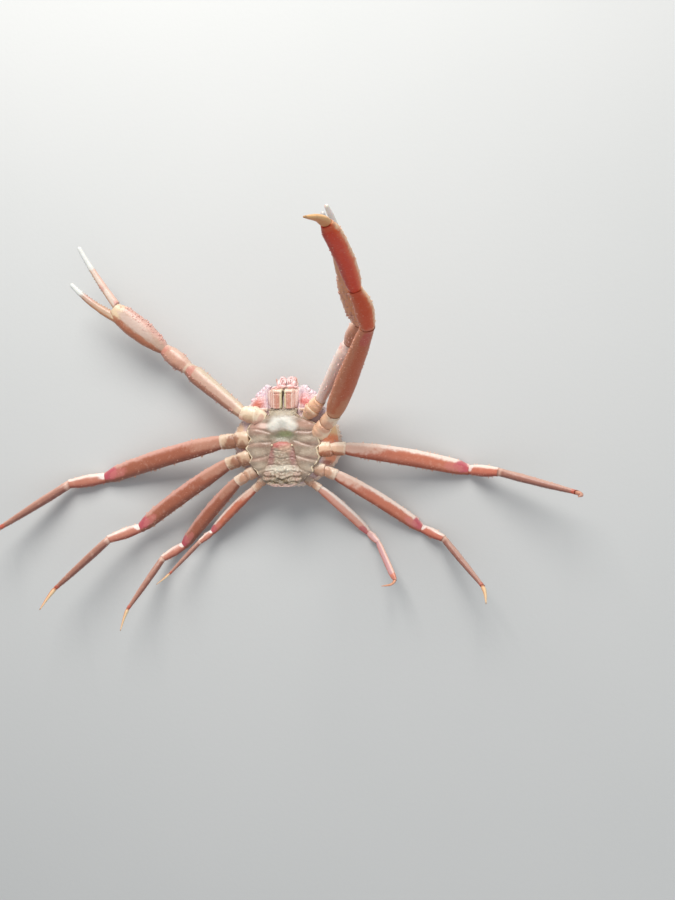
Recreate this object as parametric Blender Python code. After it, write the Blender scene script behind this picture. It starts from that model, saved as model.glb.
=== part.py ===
"""A snow crab at life size, a still museum model.

It lies on its back on the floor with its legs spread.
+Z is up and shows the underside, +Y is the head end, +X is the crab's left.
All sizes are in metres.
"""
import bpy
import bmesh
import math
import random
from mathutils import Vector

MM = 0.001

# Body sizes
BODY_WIDTH = 0.124
BODY_REAR = -0.060
BODY_FRONT = 0.052
BODY_DEPTH = 0.043
REST_FLAT = 0.36
STERNUM_TOP = 0.0500
ABDOMEN_TOP = 0.0540
GAP = 0.0003

# Half widths of the breast plate and the tail flap in millimetres, listed as
# (place along Y, half width) from the head end to the rear
STERNUM_SHAPE = ((23.5, 9), (20, 13.5), (15, 16.5), (9, 29), (5, 38), (0, 40.5), (-20, 41), (-32, 38.5),
                 (-43, 34), (-50, 27), (-54, 20))
ABDOMEN_SHAPE = ((-11, 5), (-13, 9.6), (-16.5, 12.0), (-21, 12.8), (-26.5, 13.8), (-31, 15.2), (-36.5, 17),
                 (-41.5, 19), (-46, 20.6), (-50, 20.9), (-54, 19.8), (-57, 15.5), (-59, 10))
# Where each plate of the flap ends, from the tip to the base
ABDOMEN_JOINTS = (-11, -20.5, -28.5, -36, -43, -49, -54.5, -59)
# Grooves between the breast plates: outer end and inner end, one side
STERNUM_GROOVES = (((41, 3), (15, 0)), ((42, -15.5), (14, -10)), ((40, -33), (15, -24)),
                   ((34, -46), (18, -38)))

# Spines and knobs
SPINE_SIDES = 5
MERUS_SPINE = 0.0019
MERUS_SPINE_STEP = 0.0125
MARGIN_SPINES = 17
MARGIN_SPINE = 0.0030
BACK_KNOBS = 46

# Walking legs: a size factor on every width, and the five lengths in order
# base, merus, carpus, propodus, dactyl
LEG_WIDTH = {2: 1.0, 3: 0.88, 4: 0.74, 5: 0.52}
LEG_LENGTHS = {
    2: (0.033, 0.165, 0.045, 0.094, 0.040),
    3: (0.028, 0.138, 0.037, 0.082, 0.030),
    4: (0.025, 0.113, 0.028, 0.067, 0.025),
    5: (0.018, 0.077, 0.018, 0.048, 0.021),
}
# Full widths of the largest leg at its joints and at mid length
ROOT_WIDTH = 0.0185
HIP_WIDTH = 0.0155
MERUS_WIDTH = 0.0215
KNEE_WIDTH = 0.0125
CARPUS_WIDTH = 0.0150
WRIST_WIDTH = 0.0105
# The propodus is flat: its broad side and its thin side, at the top and at the ankle.
# Two legs are turned so that the broad side shows, and there it stays broad
# almost to its end.
BROAD_SHOWN = (("left", 2), ("left", 5))
BROAD_CARPUS = 1.08
PADDLE_SHAPE = [(0.0, 0), (0.1, 0.86), (0.3, 0.94), (0.7, 0.94), (0.93, 0.86), (1.0, 1)]
SLENDER_MERUS = [(0.0, 0), (0.05, 0.8), (0.25, 0.96), (0.55, 1.0), (0.82, 0.92), (0.94, 0.84), (1.0, 1)]
SLENDER_SHAPE = [(0.0, 0), (0.1, 0.94), (0.3, 1.0), (0.65, 0.82), (0.92, 0.58), (1.0, 1)]
PROPODUS_BROAD = 0.0149
PROPODUS_THIN = 0.0102
ANKLE_BROAD = 0.0076
ANKLE_THIN = 0.0052
TIP_WIDTH = 0.0012
FLATNESS = 0.62
MERUS_BOW = 0.016
# The raised leg: how far its parts bend outward, as shares of their lengths,
# and its merus, which is broadest near the body
RAISED_BOW = {"base": 0.0, "merus": 0.0, "carpus": 0.044, "propodus": 0.022}
RAISED_MERUS = [(0.0, 0), (0.05, 0.92), (0.17, 1.02), (0.4, 1.06), (0.63, 0.94), (0.86, 0.76), (0.94, 0.68),
                (1.0, 1)]

# Claw sizes
CLAW_LENGTHS = (0.027, 0.085, 0.038, 0.073)
CLAW_ROOT = 0.0110
CLAW_BASE = 0.0205
CLAW_HIP = 0.0140
CLAW_MERUS = 0.0200
CLAW_ELBOW = 0.0140
CLAW_CARPUS = 0.0200
CLAW_WRIST = 0.0130
PALM_WIDTH = 0.0270
PALM_DEPTH = 0.0170
# The fixed finger and the movable one: width at the root, and how each bends
# away from the other (positive) or towards it at its root and at its tip
FINGER_ROOTS = (0.0128, 0.0104)
FINGER_CURL = ((11.0, -14.0), (-4.0, 3.0))
FINGER_TIP = {"left": 0.0036, "right": 0.0048}
# Fixed finger and movable finger
FINGER_LENGTHS = {"left": (0.078, 0.064), "right": (0.071, 0.0775)}

# Height of a knee's centre when the knee rests on the floor, as a share of
# the knee's width
KNEE_REST = 0.37

# Where each limb leaves the body, then heading and slope in degrees for
# each part of it. Headings turn from +X towards +Y. A slope of None means
# that the part runs down until its far end rests on the floor.
POSE = {
    ("left", 2): ((37, -3, 41), (47, 28), (50.6, 59.7), (102.6, 58.1), (105.6, 76.6), (-120.9, 69.9)),
    ("left", 3): ((39, -19, 42), (2, -5), (-10, None), (-3, 36), (-14.5, 21), (-176, 69.5)),
    ("left", 4): ((33, -38, 39), (-20, -5), (-33.5, None), (-21.5, 21.5), (-48, 26.5), (-90, 60)),
    ("left", 5): ((23, -51, 35), (-36, -6), (-45.5, None), (-38.5, 31), (-61.5, 27), (179, 41.5)),
    ("right", 2): ((-39, -8, 42), (-175, -4), (-165, None), (-170, 8), (-145.5, 15.5), (-117.5, 46)),
    ("right", 3): ((-38, -27, 42), (-163, -5), (-146.5, -9.5), (-159, 28.5), (-136.5, 9.5), (-96.5, 52)),
    ("right", 4): ((-33, -42, 39), (-150, -5), (-134.5, None), (-146.5, 25), (-119, 25), (-96, 25.5)),
    ("right", 5): ((-23, -51, 35), (-138, -6), (-137.5, -14), (-139.5, 21), (-130, 23), (-133, 58)),
}
CLAW_POSE = {
    "left": ((24, 16, 44), (44.9, 19.3), (52.3, 40.3), (41.5, 59.3), (100.0, 61.7)),
    "right": ((-20, 15, 45), (167, 3), (143, -10), (142, -3), (141, 9)),
}
CLAW_OPENING = {"left": 1.2, "right": 24.0}


STRAIGHT = Vector((0.0, 0.0, 0.0))
# The raised claw is broad in this direction
CLAW_TWIST = Vector((0.2, 0.55, -0.6))


def direction(heading, slope):
    """Unit vector for a heading and a slope in degrees."""
    turn = math.radians(heading)
    rise = math.radians(slope)
    return Vector((math.cos(turn) * math.cos(rise), math.sin(turn) * math.cos(rise), math.sin(rise)))


def new_solid(name, points, faces):
    """Make one closed mesh object with its faces turned outward."""
    mesh = bpy.data.meshes.new(name)
    mesh.from_pydata([tuple(p) for p in points], [], faces)
    work = bmesh.new()
    work.from_mesh(mesh)
    bmesh.ops.recalc_face_normals(work, faces=work.faces)
    work.to_mesh(mesh)
    work.free()
    solid = bpy.data.objects.new(name, mesh)
    bpy.context.scene.collection.objects.link(solid)
    return solid


def skin(name, rings):
    """Close a row of equal rings into one solid."""
    count = len(rings[0])
    points = [p for ring in rings for p in ring]
    faces = [list(range(count)), list(range(len(points) - count, len(points)))]
    for row in range(len(rings) - 1):
        for k in range(count):
            a = row * count + k
            b = row * count + (k + 1) % count
            faces.append([a, b, b + count, a + count])
    return new_solid(name, points, faces)


def oval(centre, normal, side, width, depth, count):
    """An oval ring of points, broad along the side direction."""
    across = (side - normal * side.dot(normal)).normalized()
    up = normal.cross(across)
    ring = []
    for k in range(count):
        turn = 2.0 * math.pi * (k + 0.5) / count
        ring.append(centre + across * (math.cos(turn) * width / 2) + up * (math.sin(turn) * depth / 2))
    return ring


def blend(a, b, t):
    """Value part way from a to b."""
    return a + (b - a) * t


def limb_part(name, ends, normals, side, profile, count=10, bow=STRAIGHT):
    """One limb part between two joint planes.

    The profile is a list of (place along, width, depth). The first and last
    rings lie in the joint planes, held back by half the gap.
    """
    start, stop = ends
    axis = (stop - start).normalized()
    rings = []
    for place, width, depth in profile:
        if place < 0.5:
            normal = blend(normals[0], axis, min(place / 0.18, 1.0)).normalized()
        else:
            normal = blend(normals[1], axis, min((1.0 - place) / 0.18, 1.0)).normalized()
        centre = blend(start, stop, place)
        if place == 0.0:
            centre = centre + normals[0] * (GAP / 2)
        if place == 1.0:
            centre = centre - normals[1] * (GAP / 2)
        centre = centre + bow * (4.0 * place * (1.0 - place))
        rings.append(oval(centre, normal, side, width, depth, count))
    for ring in rings:
        for point in ring:
            point.z = max(point.z, 0.0)
    return skin(name, rings)


def surface_spot(ends, side, profile, place, turn, bow):
    """A point on a limb part's surface and the way it faces there."""
    axis = (ends[1] - ends[0]).normalized()
    across = (side - axis * side.dot(axis)).normalized()
    up = axis.cross(across)
    for (p0, w0, d0), (p1, w1, d1) in zip(profile, profile[1:]):
        if place <= p1:
            t = (place - p0) / (p1 - p0)
            width = blend(w0, w1, t)
            depth = blend(d0, d1, t)
            break
    spot = blend(ends[0], ends[1], place) + bow * (4.0 * place * (1.0 - place))
    spot = spot + across * (math.cos(turn) * width / 2) + up * (math.sin(turn) * depth / 2)
    facing = across * (math.cos(turn) / width) + up * (math.sin(turn) / depth)
    return spot, facing.normalized()


def spine(root, aim, length, width, sink=0.5):
    """A small pointed solid whose root is sunk into its neighbour."""
    aim = aim.normalized()
    side = aim.orthogonal()
    start = root - aim * length * sink
    ring = oval(start, aim, side, width * (1.0 + sink), width * (1.0 + sink), SPINE_SIDES)
    points = ring + [root + aim * length]
    faces = [list(range(SPINE_SIDES))]
    for k in range(SPINE_SIDES):
        faces.append([k, (k + 1) % SPINE_SIDES, SPINE_SIDES])
    return new_solid("spine", points, faces)


def edge_spines(ends, side, profile, length, step, turns, lean=0.25, bow=STRAIGHT):
    """Rows of spines along a limb part, one row per turn round it."""
    axis = (ends[1] - ends[0]).normalized()
    count = max(2, int((ends[1] - ends[0]).length * 0.74 / step))
    spines = []
    for turn in turns:
        for k in range(count):
            place = 0.13 + 0.74 * (k + random.uniform(0.25, 0.75)) / count
            spot, facing = surface_spot(ends, side, profile, place, turn + random.uniform(-0.12, 0.12), bow)
            size = length * random.uniform(0.75, 1.15)
            spines.append(spine(spot, facing + axis * lean, size, size * 0.95))
    return spines


def fuse(solid, extras):
    """Join a whole group of small solids to a large one in one step."""
    group = bpy.data.collections.new("group")
    bpy.context.scene.collection.children.link(group)
    for extra in extras:
        bpy.context.scene.collection.objects.unlink(extra)
        group.objects.link(extra)
    step = solid.modifiers.new("step", "BOOLEAN")
    step.operation = "UNION"
    step.solver = "EXACT"
    step.operand_type = "COLLECTION"
    step.collection = group
    bake(solid)
    for extra in extras:
        bpy.data.objects.remove(extra)
    bpy.data.collections.remove(group)
    keep_largest(solid)


def bake(solid):
    """Turn the object's modifiers into plain mesh."""
    graph = bpy.context.evaluated_depsgraph_get()
    mesh = bpy.data.meshes.new_from_object(solid.evaluated_get(graph))
    solid.modifiers.clear()
    solid.data = mesh


def grown_copy(solid, amount=GAP):
    """A copy swollen outward, used to cut a neighbour clear."""
    copy = bpy.data.objects.new("cutter", solid.data.copy())
    bpy.context.scene.collection.objects.link(copy)
    copy.hide_render = True
    copy.display_type = "WIRE"
    moves = [v.normal.copy() for v in copy.data.vertices]
    for vertex, normal in zip(copy.data.vertices, moves):
        vertex.co = vertex.co + normal * amount * 1.25
    return copy


def cut_clear(solid, neighbour):
    """Cut a solid back so that the gap is left to its neighbour."""
    cutter = grown_copy(neighbour)
    step = solid.modifiers.new("step", "BOOLEAN")
    step.operation = "DIFFERENCE"
    step.solver = "MANIFOLD"
    step.object = cutter
    bake(solid)
    bpy.data.objects.remove(cutter)


def keep_largest(solid):
    """Keep only the largest closed surface of a mesh."""
    work = bmesh.new()
    work.from_mesh(solid.data)
    left = set(work.verts)
    groups = []
    while left:
        group = {left.pop()}
        edge = list(group)
        while edge:
            vertex = edge.pop()
            for link in vertex.link_edges:
                other = link.other_vert(vertex)
                if other in left:
                    left.remove(other)
                    group.add(other)
                    edge.append(other)
        groups.append(group)
    groups.sort(key=len)
    spare = [v for group in groups[:-1] for v in group]
    bmesh.ops.delete(work, geom=spare, context="VERTS")
    work.to_mesh(solid.data)
    work.free()


def limb_joints(start, poses, lengths, rest=0.0):
    """Joint points and part directions along a limb."""
    points = [Vector(start) * MM]
    ways = []
    for (heading, slope), length in zip(poses, lengths):
        if slope is None:
            slope = math.degrees(math.asin((rest - points[-1].z) / length))
        ways.append(direction(heading, slope))
        points.append(points[-1] + ways[-1] * length)
    return points, ways


def joint_normals(ways):
    """The normal of the shared plane at every joint of a limb."""
    normals = [ways[0]]
    for before, after in zip(ways, ways[1:]):
        normals.append((before + after).normalized())
    normals.append(ways[-1])
    return normals


def broad_side(ways, raised):
    """The direction the limb is broad in: level, or facing the front."""
    if raised:
        return Vector((1.0, 0.25, -0.2))
    return Vector((-ways[1].y, ways[1].x, 0.0))


def walking_leg(side_name, number):
    """The five parts of one walking leg."""
    start, *poses = POSE[(side_name, number)]
    lengths = LEG_LENGTHS[number]
    size = LEG_WIDTH[number]
    points, ways = limb_joints(start, poses, lengths, KNEE_REST * KNEE_WIDTH * size)
    normals = joint_normals(ways)
    raised = ways[1].z > 0.3
    side = broad_side(ways, raised)
    turned = (side_name, number) in BROAD_SHOWN
    shin, ankle = (PROPODUS_BROAD, ANKLE_BROAD) if turned else (PROPODUS_THIN, ANKLE_THIN)
    shin_flat = (PROPODUS_BROAD + PROPODUS_THIN) / shin - 1.0
    joints = [ROOT_WIDTH, HIP_WIDTH, KNEE_WIDTH, WRIST_WIDTH, ankle, TIP_WIDTH]
    joints = [width * size for width in joints]
    leg = "leg_%d_%s" % (number, side_name)
    bend = 1.0 if side.y > 0 else -1.0
    thick = (0.85, 0.78, 0.80, 0.80, shin_flat, 1.0)
    shapes = {
        "base": [(0.0, 0), (0.22, 1.06), (0.4, 1.0), (0.48, 0.80), (0.56, 0.90), (0.82, 0.94), (1.0, 1)],
        "merus": RAISED_MERUS if raised else SLENDER_MERUS,
        "carpus": [(0.0, 0), (0.12, 0.86), (0.45, 1.0), (0.8, 0.84), (1.0, 1)],
        "propodus": PADDLE_SHAPE if turned else SLENDER_SHAPE,
    }
    carpus = CARPUS_WIDTH * (BROAD_CARPUS if turned else 1.0)
    mids = {"base": ROOT_WIDTH, "merus": MERUS_WIDTH, "carpus": carpus, "propodus": shin}
    flat = {"base": 0.82, "merus": FLATNESS, "carpus": 0.76, "propodus": shin_flat}
    parts = []
    for k, part in enumerate(("base", "merus", "carpus", "propodus")):
        profile = []
        for place, factor in shapes[part]:
            if place == 0.0:
                profile.append((place, joints[k], joints[k] * thick[k]))
            elif place == 1.0:
                profile.append((place, joints[k + 1], joints[k + 1] * thick[k + 1]))
            else:
                width = mids[part] * size * factor
                profile.append((place, width, width * flat[part]))
        ends = (points[k], points[k + 1])
        share = MERUS_BOW * bend if part == "merus" else 0.0
        if raised:
            share = RAISED_BOW[part]
        bow = side.normalized() * (share * lengths[k])
        solid = limb_part(leg + "_" + part, ends, (normals[k], normals[k + 1]), side, profile, 10, bow)
        if part in ("merus", "carpus"):
            length = MERUS_SPINE * (0.5 + 0.5 * size)
            rows = edge_spines(ends, side, profile, length, MERUS_SPINE_STEP, (0.0, math.pi), 0.25, bow)
            fuse(solid, rows)
        parts.append(solid)
    tip = dactyl(leg + "_dactyl", points[4], ways[3], ways[4], lengths[4], joints[4], thick[4], side)
    return parts + [tip]


def dactyl(name, start, before, after, length, width, thick, side, count=8):
    """The last part of a leg: a claw that bends and narrows to a point."""
    normal = (before + after).normalized()
    rings = []
    centre = start + normal * (GAP / 2)
    steps = 8
    for k in range(steps + 1):
        place = k / steps
        way = blend(normal, after, min(place * 1.6, 1.0)).normalized()
        if k > 0:
            centre = centre + way * (length / steps)
        swell = 1.0 + 0.12 * math.sin(math.pi * min(place * 3.0, 1.0))
        across = blend(width, TIP_WIDTH, place ** 1.25) * swell
        rings.append(oval(centre, way, side, across, across * blend(thick, 1.0, place), count))
    return skin(name, rings)


def outline_width(y):
    """Half width of the carapace at a place along its length."""
    places = [(-60, 16), (-58, 22), (-52, 36), (-42, 50), (-28, 59.5), (-12, 62), (4, 59),
              (18, 50.5), (30, 39), (40, 28), (47, 19), (52, 10)]
    for (y0, w0), (y1, w1) in zip(places, places[1:]):
        if y * 1000 <= y1:
            t = (y * 1000 - y0) / (y1 - y0)
            return blend(w0, w1, t) * MM * BODY_WIDTH / 0.124
    return places[-1][1] * MM


# The carapace from its rest face up: (share of the full outline, height)
SHELL_LEVELS = ((REST_FLAT, 0.0), (0.55, 0.0014), (0.72, 0.0050), (0.86, 0.0110), (0.955, 0.0185),
                (1.0, 0.0265), (0.985, 0.0300), (0.91, 0.0350), (0.82, 0.0400), (0.74, BODY_DEPTH))


def body_ring(scale, height, count=44):
    """One level ring of the carapace, shrunk towards the middle."""
    middle = -0.006
    points = []
    half = count // 2
    for k in range(half + 1):
        t = (1.0 - math.cos(math.pi * k / half)) / 2
        y = blend(BODY_REAR, BODY_FRONT, t)
        points.append((outline_width(y), y))
    left = [(-x, y) for x, y in reversed(points)]
    return [Vector((x * scale, middle + (y - middle) * scale, height)) for x, y in points + left]


def carapace():
    """The shell of the back, with its flat rest face at the bottom."""
    shell = skin("carapace", [body_ring(scale, height) for scale, height in SHELL_LEVELS])
    extras = []
    for side in (-1.0, 1.0):
        extras.append(horn_solid(side))
        extras.append(lump("panel", (side * 0.0262, 0.0315, 0.0375), (0.0088, 0.0100, 0.0070)))
        extras.append(lump("cheek", (side * 0.0370, 0.0185, 0.0320), (0.0095, 0.0115, 0.0062)))
    for root, aim, length in shell_spines():
        extras.append(spine(root, aim, length, length * 1.05))
    fuse(shell, extras)
    return shell


def shell_spot(scale, height, slope, place):
    """A point on the shell, with the way it faces there.

    The place runs from 0 at the rear round one side to 1 at the front.
    """
    t = (1.0 - math.cos(math.pi * place)) / 2
    y = blend(BODY_REAR, BODY_FRONT, t)
    x = outline_width(y)
    middle = -0.006
    out = Vector((x, (y - middle) * 0.9, 0.0)).normalized()
    spot = Vector((x * scale, middle + (y - middle) * scale, height))
    return spot, Vector((out.x, out.y, slope)).normalized()


def on_side(point, side):
    """A point or direction as it is, or mirrored to the other side."""
    return Vector((point.x * side, point.y, point.z))


def shell_spines():
    """Root, direction and length of every spine and knob of the shell."""
    found = []
    for side in (-1.0, 1.0):
        for k in range(MARGIN_SPINES):
            place = 0.10 + 0.76 * (k + random.uniform(0.35, 0.65)) / MARGIN_SPINES
            spot, aim = shell_spot(0.995, random.uniform(0.0250, 0.0285), 0.15, place)
            length = MARGIN_SPINE * random.uniform(0.8, 1.2)
            found.append((on_side(spot, side), on_side(aim, side), length))
        for k in range(BACK_KNOBS // 2):
            lift = random.uniform(0.0, 1.0)
            place = 0.08 + 0.84 * (k + random.uniform(0.2, 0.8)) / (BACK_KNOBS // 2)
            height = blend(0.0082, 0.0170, lift)
            spot, aim = shell_spot(blend(0.80, 0.94, lift), height, blend(-1.2, -0.5, lift), place)
            length = random.uniform(0.0014, 0.0022)
            found.append((on_side(spot, side), on_side(aim, side), length))
        for k in range(7):
            x = side * blend(0.003, 0.026, k / 6)
            spot = Vector((x, 0.0530 - abs(x) * 0.42, 0.0300 + 0.002 * (k % 2)))
            aim = Vector((x * 9.0, 1.0, 0.35 + 0.3 * (k % 2)))
            found.append((spot, aim, 0.0034 * random.uniform(0.8, 1.2)))
    return found


def horn_solid(side):
    """One of the two short flat horns at the front of the shell."""
    start = Vector((side * 0.0060, 0.0420, 0.0240))
    stop = Vector((side * 0.0075, 0.0620, 0.0225))
    way = (stop - start).normalized()
    across = Vector((1.0, 0.0, 0.0))
    rings = [oval(blend(start, stop, t), way, across, w * MM, w * MM * 0.55, 8)
             for t, w in ((0.0, 12.0), (0.4, 10.0), (0.75, 6.5), (1.0, 1.4))]
    return skin("horn", rings)


def lump(name, centre, radii, columns=12, rows=5):
    """A rounded solid used for bulges."""
    rings = []
    for row in range(rows + 1):
        rise = math.pi * (row + 0.35) / (rows + 0.7)
        ring = []
        for k in range(columns):
            turn = 2.0 * math.pi * k / columns
            x = math.sin(rise) * math.cos(turn) * radii[0]
            y = math.sin(rise) * math.sin(turn) * radii[1]
            z = math.cos(rise) * radii[2]
            ring.append(Vector((centre[0] + x, centre[1] + y, centre[2] + z)))
        rings.append(ring)
    return skin(name, rings)


def shape_width(shape, y):
    """Half width at a place along Y, from a list of places, in metres."""
    y = y / MM
    for (y0, w0), (y1, w1) in zip(shape, shape[1:]):
        if y >= y1:
            return blend(w0, w1, (y - y0) / (y1 - y0)) * MM
    return shape[-1][1] * MM


def plate(name, rows, columns, top, base):
    """A thick plate with a shaped top and a flat underside.

    Each row is (y, x of one edge, x of the other). The top gets the share
    across the row from -1 to 1, then x and y.
    """
    count = columns + 1
    points = []
    for y, x0, x1 in rows:
        for k in range(count):
            share = -1.0 + 2.0 * k / columns
            share = math.copysign(abs(share) ** 0.8, share)
            x = blend(x0, x1, (share + 1.0) / 2)
            points.append(Vector((x, y, top(share, x, y))))
    faces = []
    for row in range(len(rows) - 1):
        for k in range(columns):
            a = row * count + k
            faces.append([a, a + 1, a + 1 + count, a + count])
    last = (len(rows) - 1) * count
    rim = list(range(count)) + [row * count + columns for row in range(1, len(rows))]
    rim += list(range(last + columns - 1, last - 1, -1))
    rim += [row * count for row in range(len(rows) - 2, 0, -1)]
    first = len(points)
    points += [Vector((points[k].x, points[k].y, base)) for k in rim]
    for k in range(len(rim)):
        after = (k + 1) % len(rim)
        faces.append([rim[k], rim[after], first + after, first + k])
    faces.append([first + k for k in range(len(rim))])
    return new_solid(name, points, faces)


def hill(x, y, centre, radii):
    """A soft round rise that is 1 at its centre."""
    dx = (x - centre[0]) / radii[0]
    dy = (y - centre[1]) / radii[1]
    return math.exp(-dx * dx - dy * dy)


def groove(x, y, line, width):
    """A soft groove along a line, 1 on the line and 0 away from it."""
    a = Vector(line[0])
    b = Vector(line[1])
    p = Vector((x, y))
    t = max(0.0, min(1.0, (p - a).dot(b - a) / (b - a).length_squared))
    gap = (p - (a + (b - a) * t)).length / width
    return math.exp(-gap * gap)


def sternum():
    """The breast plate, with grooves between its plates."""
    def top(share, x, y):
        height = STERNUM_TOP - 0.0030 * abs(share) ** 5
        for line in STERNUM_GROOVES:
            height -= 0.0015 * groove(abs(x) / MM, y / MM, line, 2.0)
        height += 0.0022 * hill(x, y, (0.0, 0.0150), (0.012, 0.006))
        height -= 0.0018 * hill(x, y, (0.0, -0.0035), (0.010, 0.0055))
        return height - 0.0020 * hill(0.0, y, (0.0, 0.0240), (1.0, 0.003))

    rows = []
    for k in range(27):
        y = blend(0.0235, -0.0540, k / 26)
        half = shape_width(STERNUM_SHAPE, y)
        rows.append((y, -half, half))
    return plate("sternum", rows, 16, top, BODY_DEPTH + GAP)


def abdomen():
    """The folded tail flap, one raised plate after another."""
    rows = []
    heights = {}
    for a, b in zip(ABDOMEN_JOINTS, ABDOMEN_JOINTS[1:]):
        for share, rise in ((0.0, -0.0008), (0.22, 0.0), (0.75, 0.0004)):
            y = blend(a, b, share) * MM
            half = shape_width(ABDOMEN_SHAPE, y) - (0.0006 if share == 0.0 else 0.0)
            rows.append((y, -half, half))
            heights[y] = rise
    rows.append((-0.0590, -0.0095, 0.0095))
    heights[-0.0590] = -0.0010

    def top(share, x, y):
        height = ABDOMEN_TOP + heights[y] - 0.0021 * abs(share) ** 4
        height += 0.0007 * math.cos(share * 7.0) * min(1.0, (-y - 0.011) / 0.02)
        return height - 0.0006 * hill(0.0, y, (0.0, -0.0110), (1.0, 0.003))

    return plate("abdomen", rows, 12, top, 0.0466)


def maxilliped(side):
    """One of the two long plates that close the mouth."""
    name = "maxilliped_left" if side > 0 else "maxilliped_right"
    shape = ((25.0, 3.0, 11.0), (26.0, 1.2, 13.8), (29.0, 0.8, 15.2), (33.0, 0.7, 16.2), (37.0, 0.6, 16.8),
             (40.0, 0.6, 17.0), (41.0, 0.6, 16.8), (43.0, 0.7, 16.4), (45.0, 0.9, 15.0), (46.6, 1.6, 12.0))

    def top(share, x, y):
        height = 0.0498 - 0.0022 * abs(share) ** 6
        height -= 0.0013 * groove(abs(x) / MM, y / MM, ((10.8, 20.0), (11.2, 50.0)), 0.9)
        height -= 0.0010 * groove(abs(x) / MM, y / MM, ((0.0, 40.6), (10.0, 40.6)), 0.8)
        return height - 0.0030 * hill(0.0, y, (0.0, 0.0480), (1.0, 0.003))

    rows = [(y * MM, side * a * MM, side * b * MM) for y, a, b in shape]
    return plate(name, rows, 10, top, 0.0340)


def eye(side):
    """A short stalk with a round eye, set beside the front."""
    name = "eye_left" if side > 0 else "eye_right"
    start = Vector((side * 0.0160, 0.0420, 0.0250))
    stop = Vector((side * 0.0235, 0.0505, 0.0245))
    way = (stop - start).normalized()
    across = Vector((0.0, 0.0, 1.0))
    rings = [oval(blend(start, stop, t), way, across, w * MM, w * MM, 10)
             for t, w in ((0.0, 4.2), (0.4, 3.8), (0.55, 4.8), (0.75, 5.4), (0.9, 4.4), (1.0, 2.2))]
    return skin(name, rings)


def antenna(side):
    """A feeler that reaches forward from beside the mouth."""
    name = "antenna_left" if side > 0 else "antenna_right"
    start = Vector((side * 0.0095, 0.0450, 0.0300))
    rings = []
    centre = start
    way = Vector((side * 0.05, 1.0, 0.10)).normalized()
    for k in range(9):
        place = k / 8
        width = blend(4.2, 1.0, place) * MM
        rings.append(oval(centre, way, Vector((0, 0, 1)), width, width, 8))
        way = (way + Vector((side * 0.02, 0.0, 0.02))).normalized()
        centre = centre + way * 0.0018
    return skin(name, rings)


def claw_arm(side_name):
    """The five parts of one claw arm, with the two fingers of the claw."""
    start, *poses = CLAW_POSE[side_name]
    points, ways = limb_joints(start, poses, CLAW_LENGTHS)
    normals = joint_normals(ways)
    raised = ways[1].z > 0.3
    side = CLAW_TWIST if raised else broad_side(ways, raised)
    name = "claw_%s_" % side_name
    joints = (CLAW_ROOT, CLAW_HIP, CLAW_ELBOW, CLAW_WRIST)
    mids = (CLAW_BASE, CLAW_MERUS, CLAW_CARPUS)
    flat = (0.85, 0.80, 0.82)
    shapes = ([(0.2, 0.8), (0.45, 1.0), (0.58, 0.9), (0.7, 0.94), (0.88, 0.82)],
              [(0.06, 0.72), (0.3, 0.84), (0.6, 0.95), (0.85, 1.0), (0.95, 0.86)],
              [(0.12, 0.8), (0.4, 1.0), (0.75, 0.95), (0.92, 0.78)])
    parts = []
    for k, part in enumerate(("base", "merus", "carpus")):
        profile = [(0.0, joints[k], joints[k] * 0.85)]
        profile += [(place, mids[k] * f, mids[k] * f * flat[k]) for place, f in shapes[k]]
        profile.append((1.0, joints[k + 1], joints[k + 1] * 0.85))
        ends = (points[k], points[k + 1])
        solid = limb_part(name + part, ends, (normals[k], normals[k + 1]), side, profile)
        if part != "base":
            fuse(solid, edge_spines(ends, side, profile, MERUS_SPINE, 0.0105, (0.0, math.pi, 1.2)))
        parts.append(solid)
    parts += claw_hand(side_name, points[3], normals[3], ways[3], side)
    return parts


def claw_hand(side_name, start, normal, way, side):
    """The palm with its fixed finger, and the movable finger beside it."""
    name = "claw_%s_" % side_name
    opening = math.radians(CLAW_OPENING[side_name])
    lengths = FINGER_LENGTHS[side_name]
    across = (side - way * side.dot(way)).normalized()
    hinge = start + way * CLAW_LENGTHS[3]
    profile = [(0.0, CLAW_WRIST, CLAW_WRIST * 0.85), (0.1, PALM_WIDTH * 0.66, PALM_DEPTH * 0.78),
               (0.35, PALM_WIDTH * 0.93, PALM_DEPTH), (0.62, PALM_WIDTH, PALM_DEPTH),
               (0.84, PALM_WIDTH * 0.90, PALM_DEPTH * 0.86), (0.93, PALM_WIDTH * 0.78, PALM_DEPTH * 0.74),
               (1.0, PALM_WIDTH * 0.56, PALM_DEPTH * 0.56)]
    ends = (start, hinge)
    palm = limb_part(name + "palm", ends, (normal, way), side, profile, 12)
    fixed_root = hinge + across * (PALM_WIDTH * 0.17) - way * 0.014
    moving_root = hinge - across * (PALM_WIDTH * 0.19)
    tip = FINGER_TIP[side_name]
    widths = [(root, tip) for root in FINGER_ROOTS]
    fixed, teeth = finger("fixed", fixed_root, (way, across), opening * 0.18, lengths[0], widths[0], 1.0)
    rows = edge_spines(ends, side, profile, 0.0021, 0.0070, (2.6, math.pi, 3.7), 0.1)
    fuse(palm, [fixed] + teeth + rows)
    moving_root = moving_root + way * GAP
    turn = -opening * 0.82
    moving, teeth = finger(name + "finger", moving_root, (way, across), turn, lengths[1], widths[1], -1.0)
    fuse(moving, teeth)
    return [palm, moving]


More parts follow.
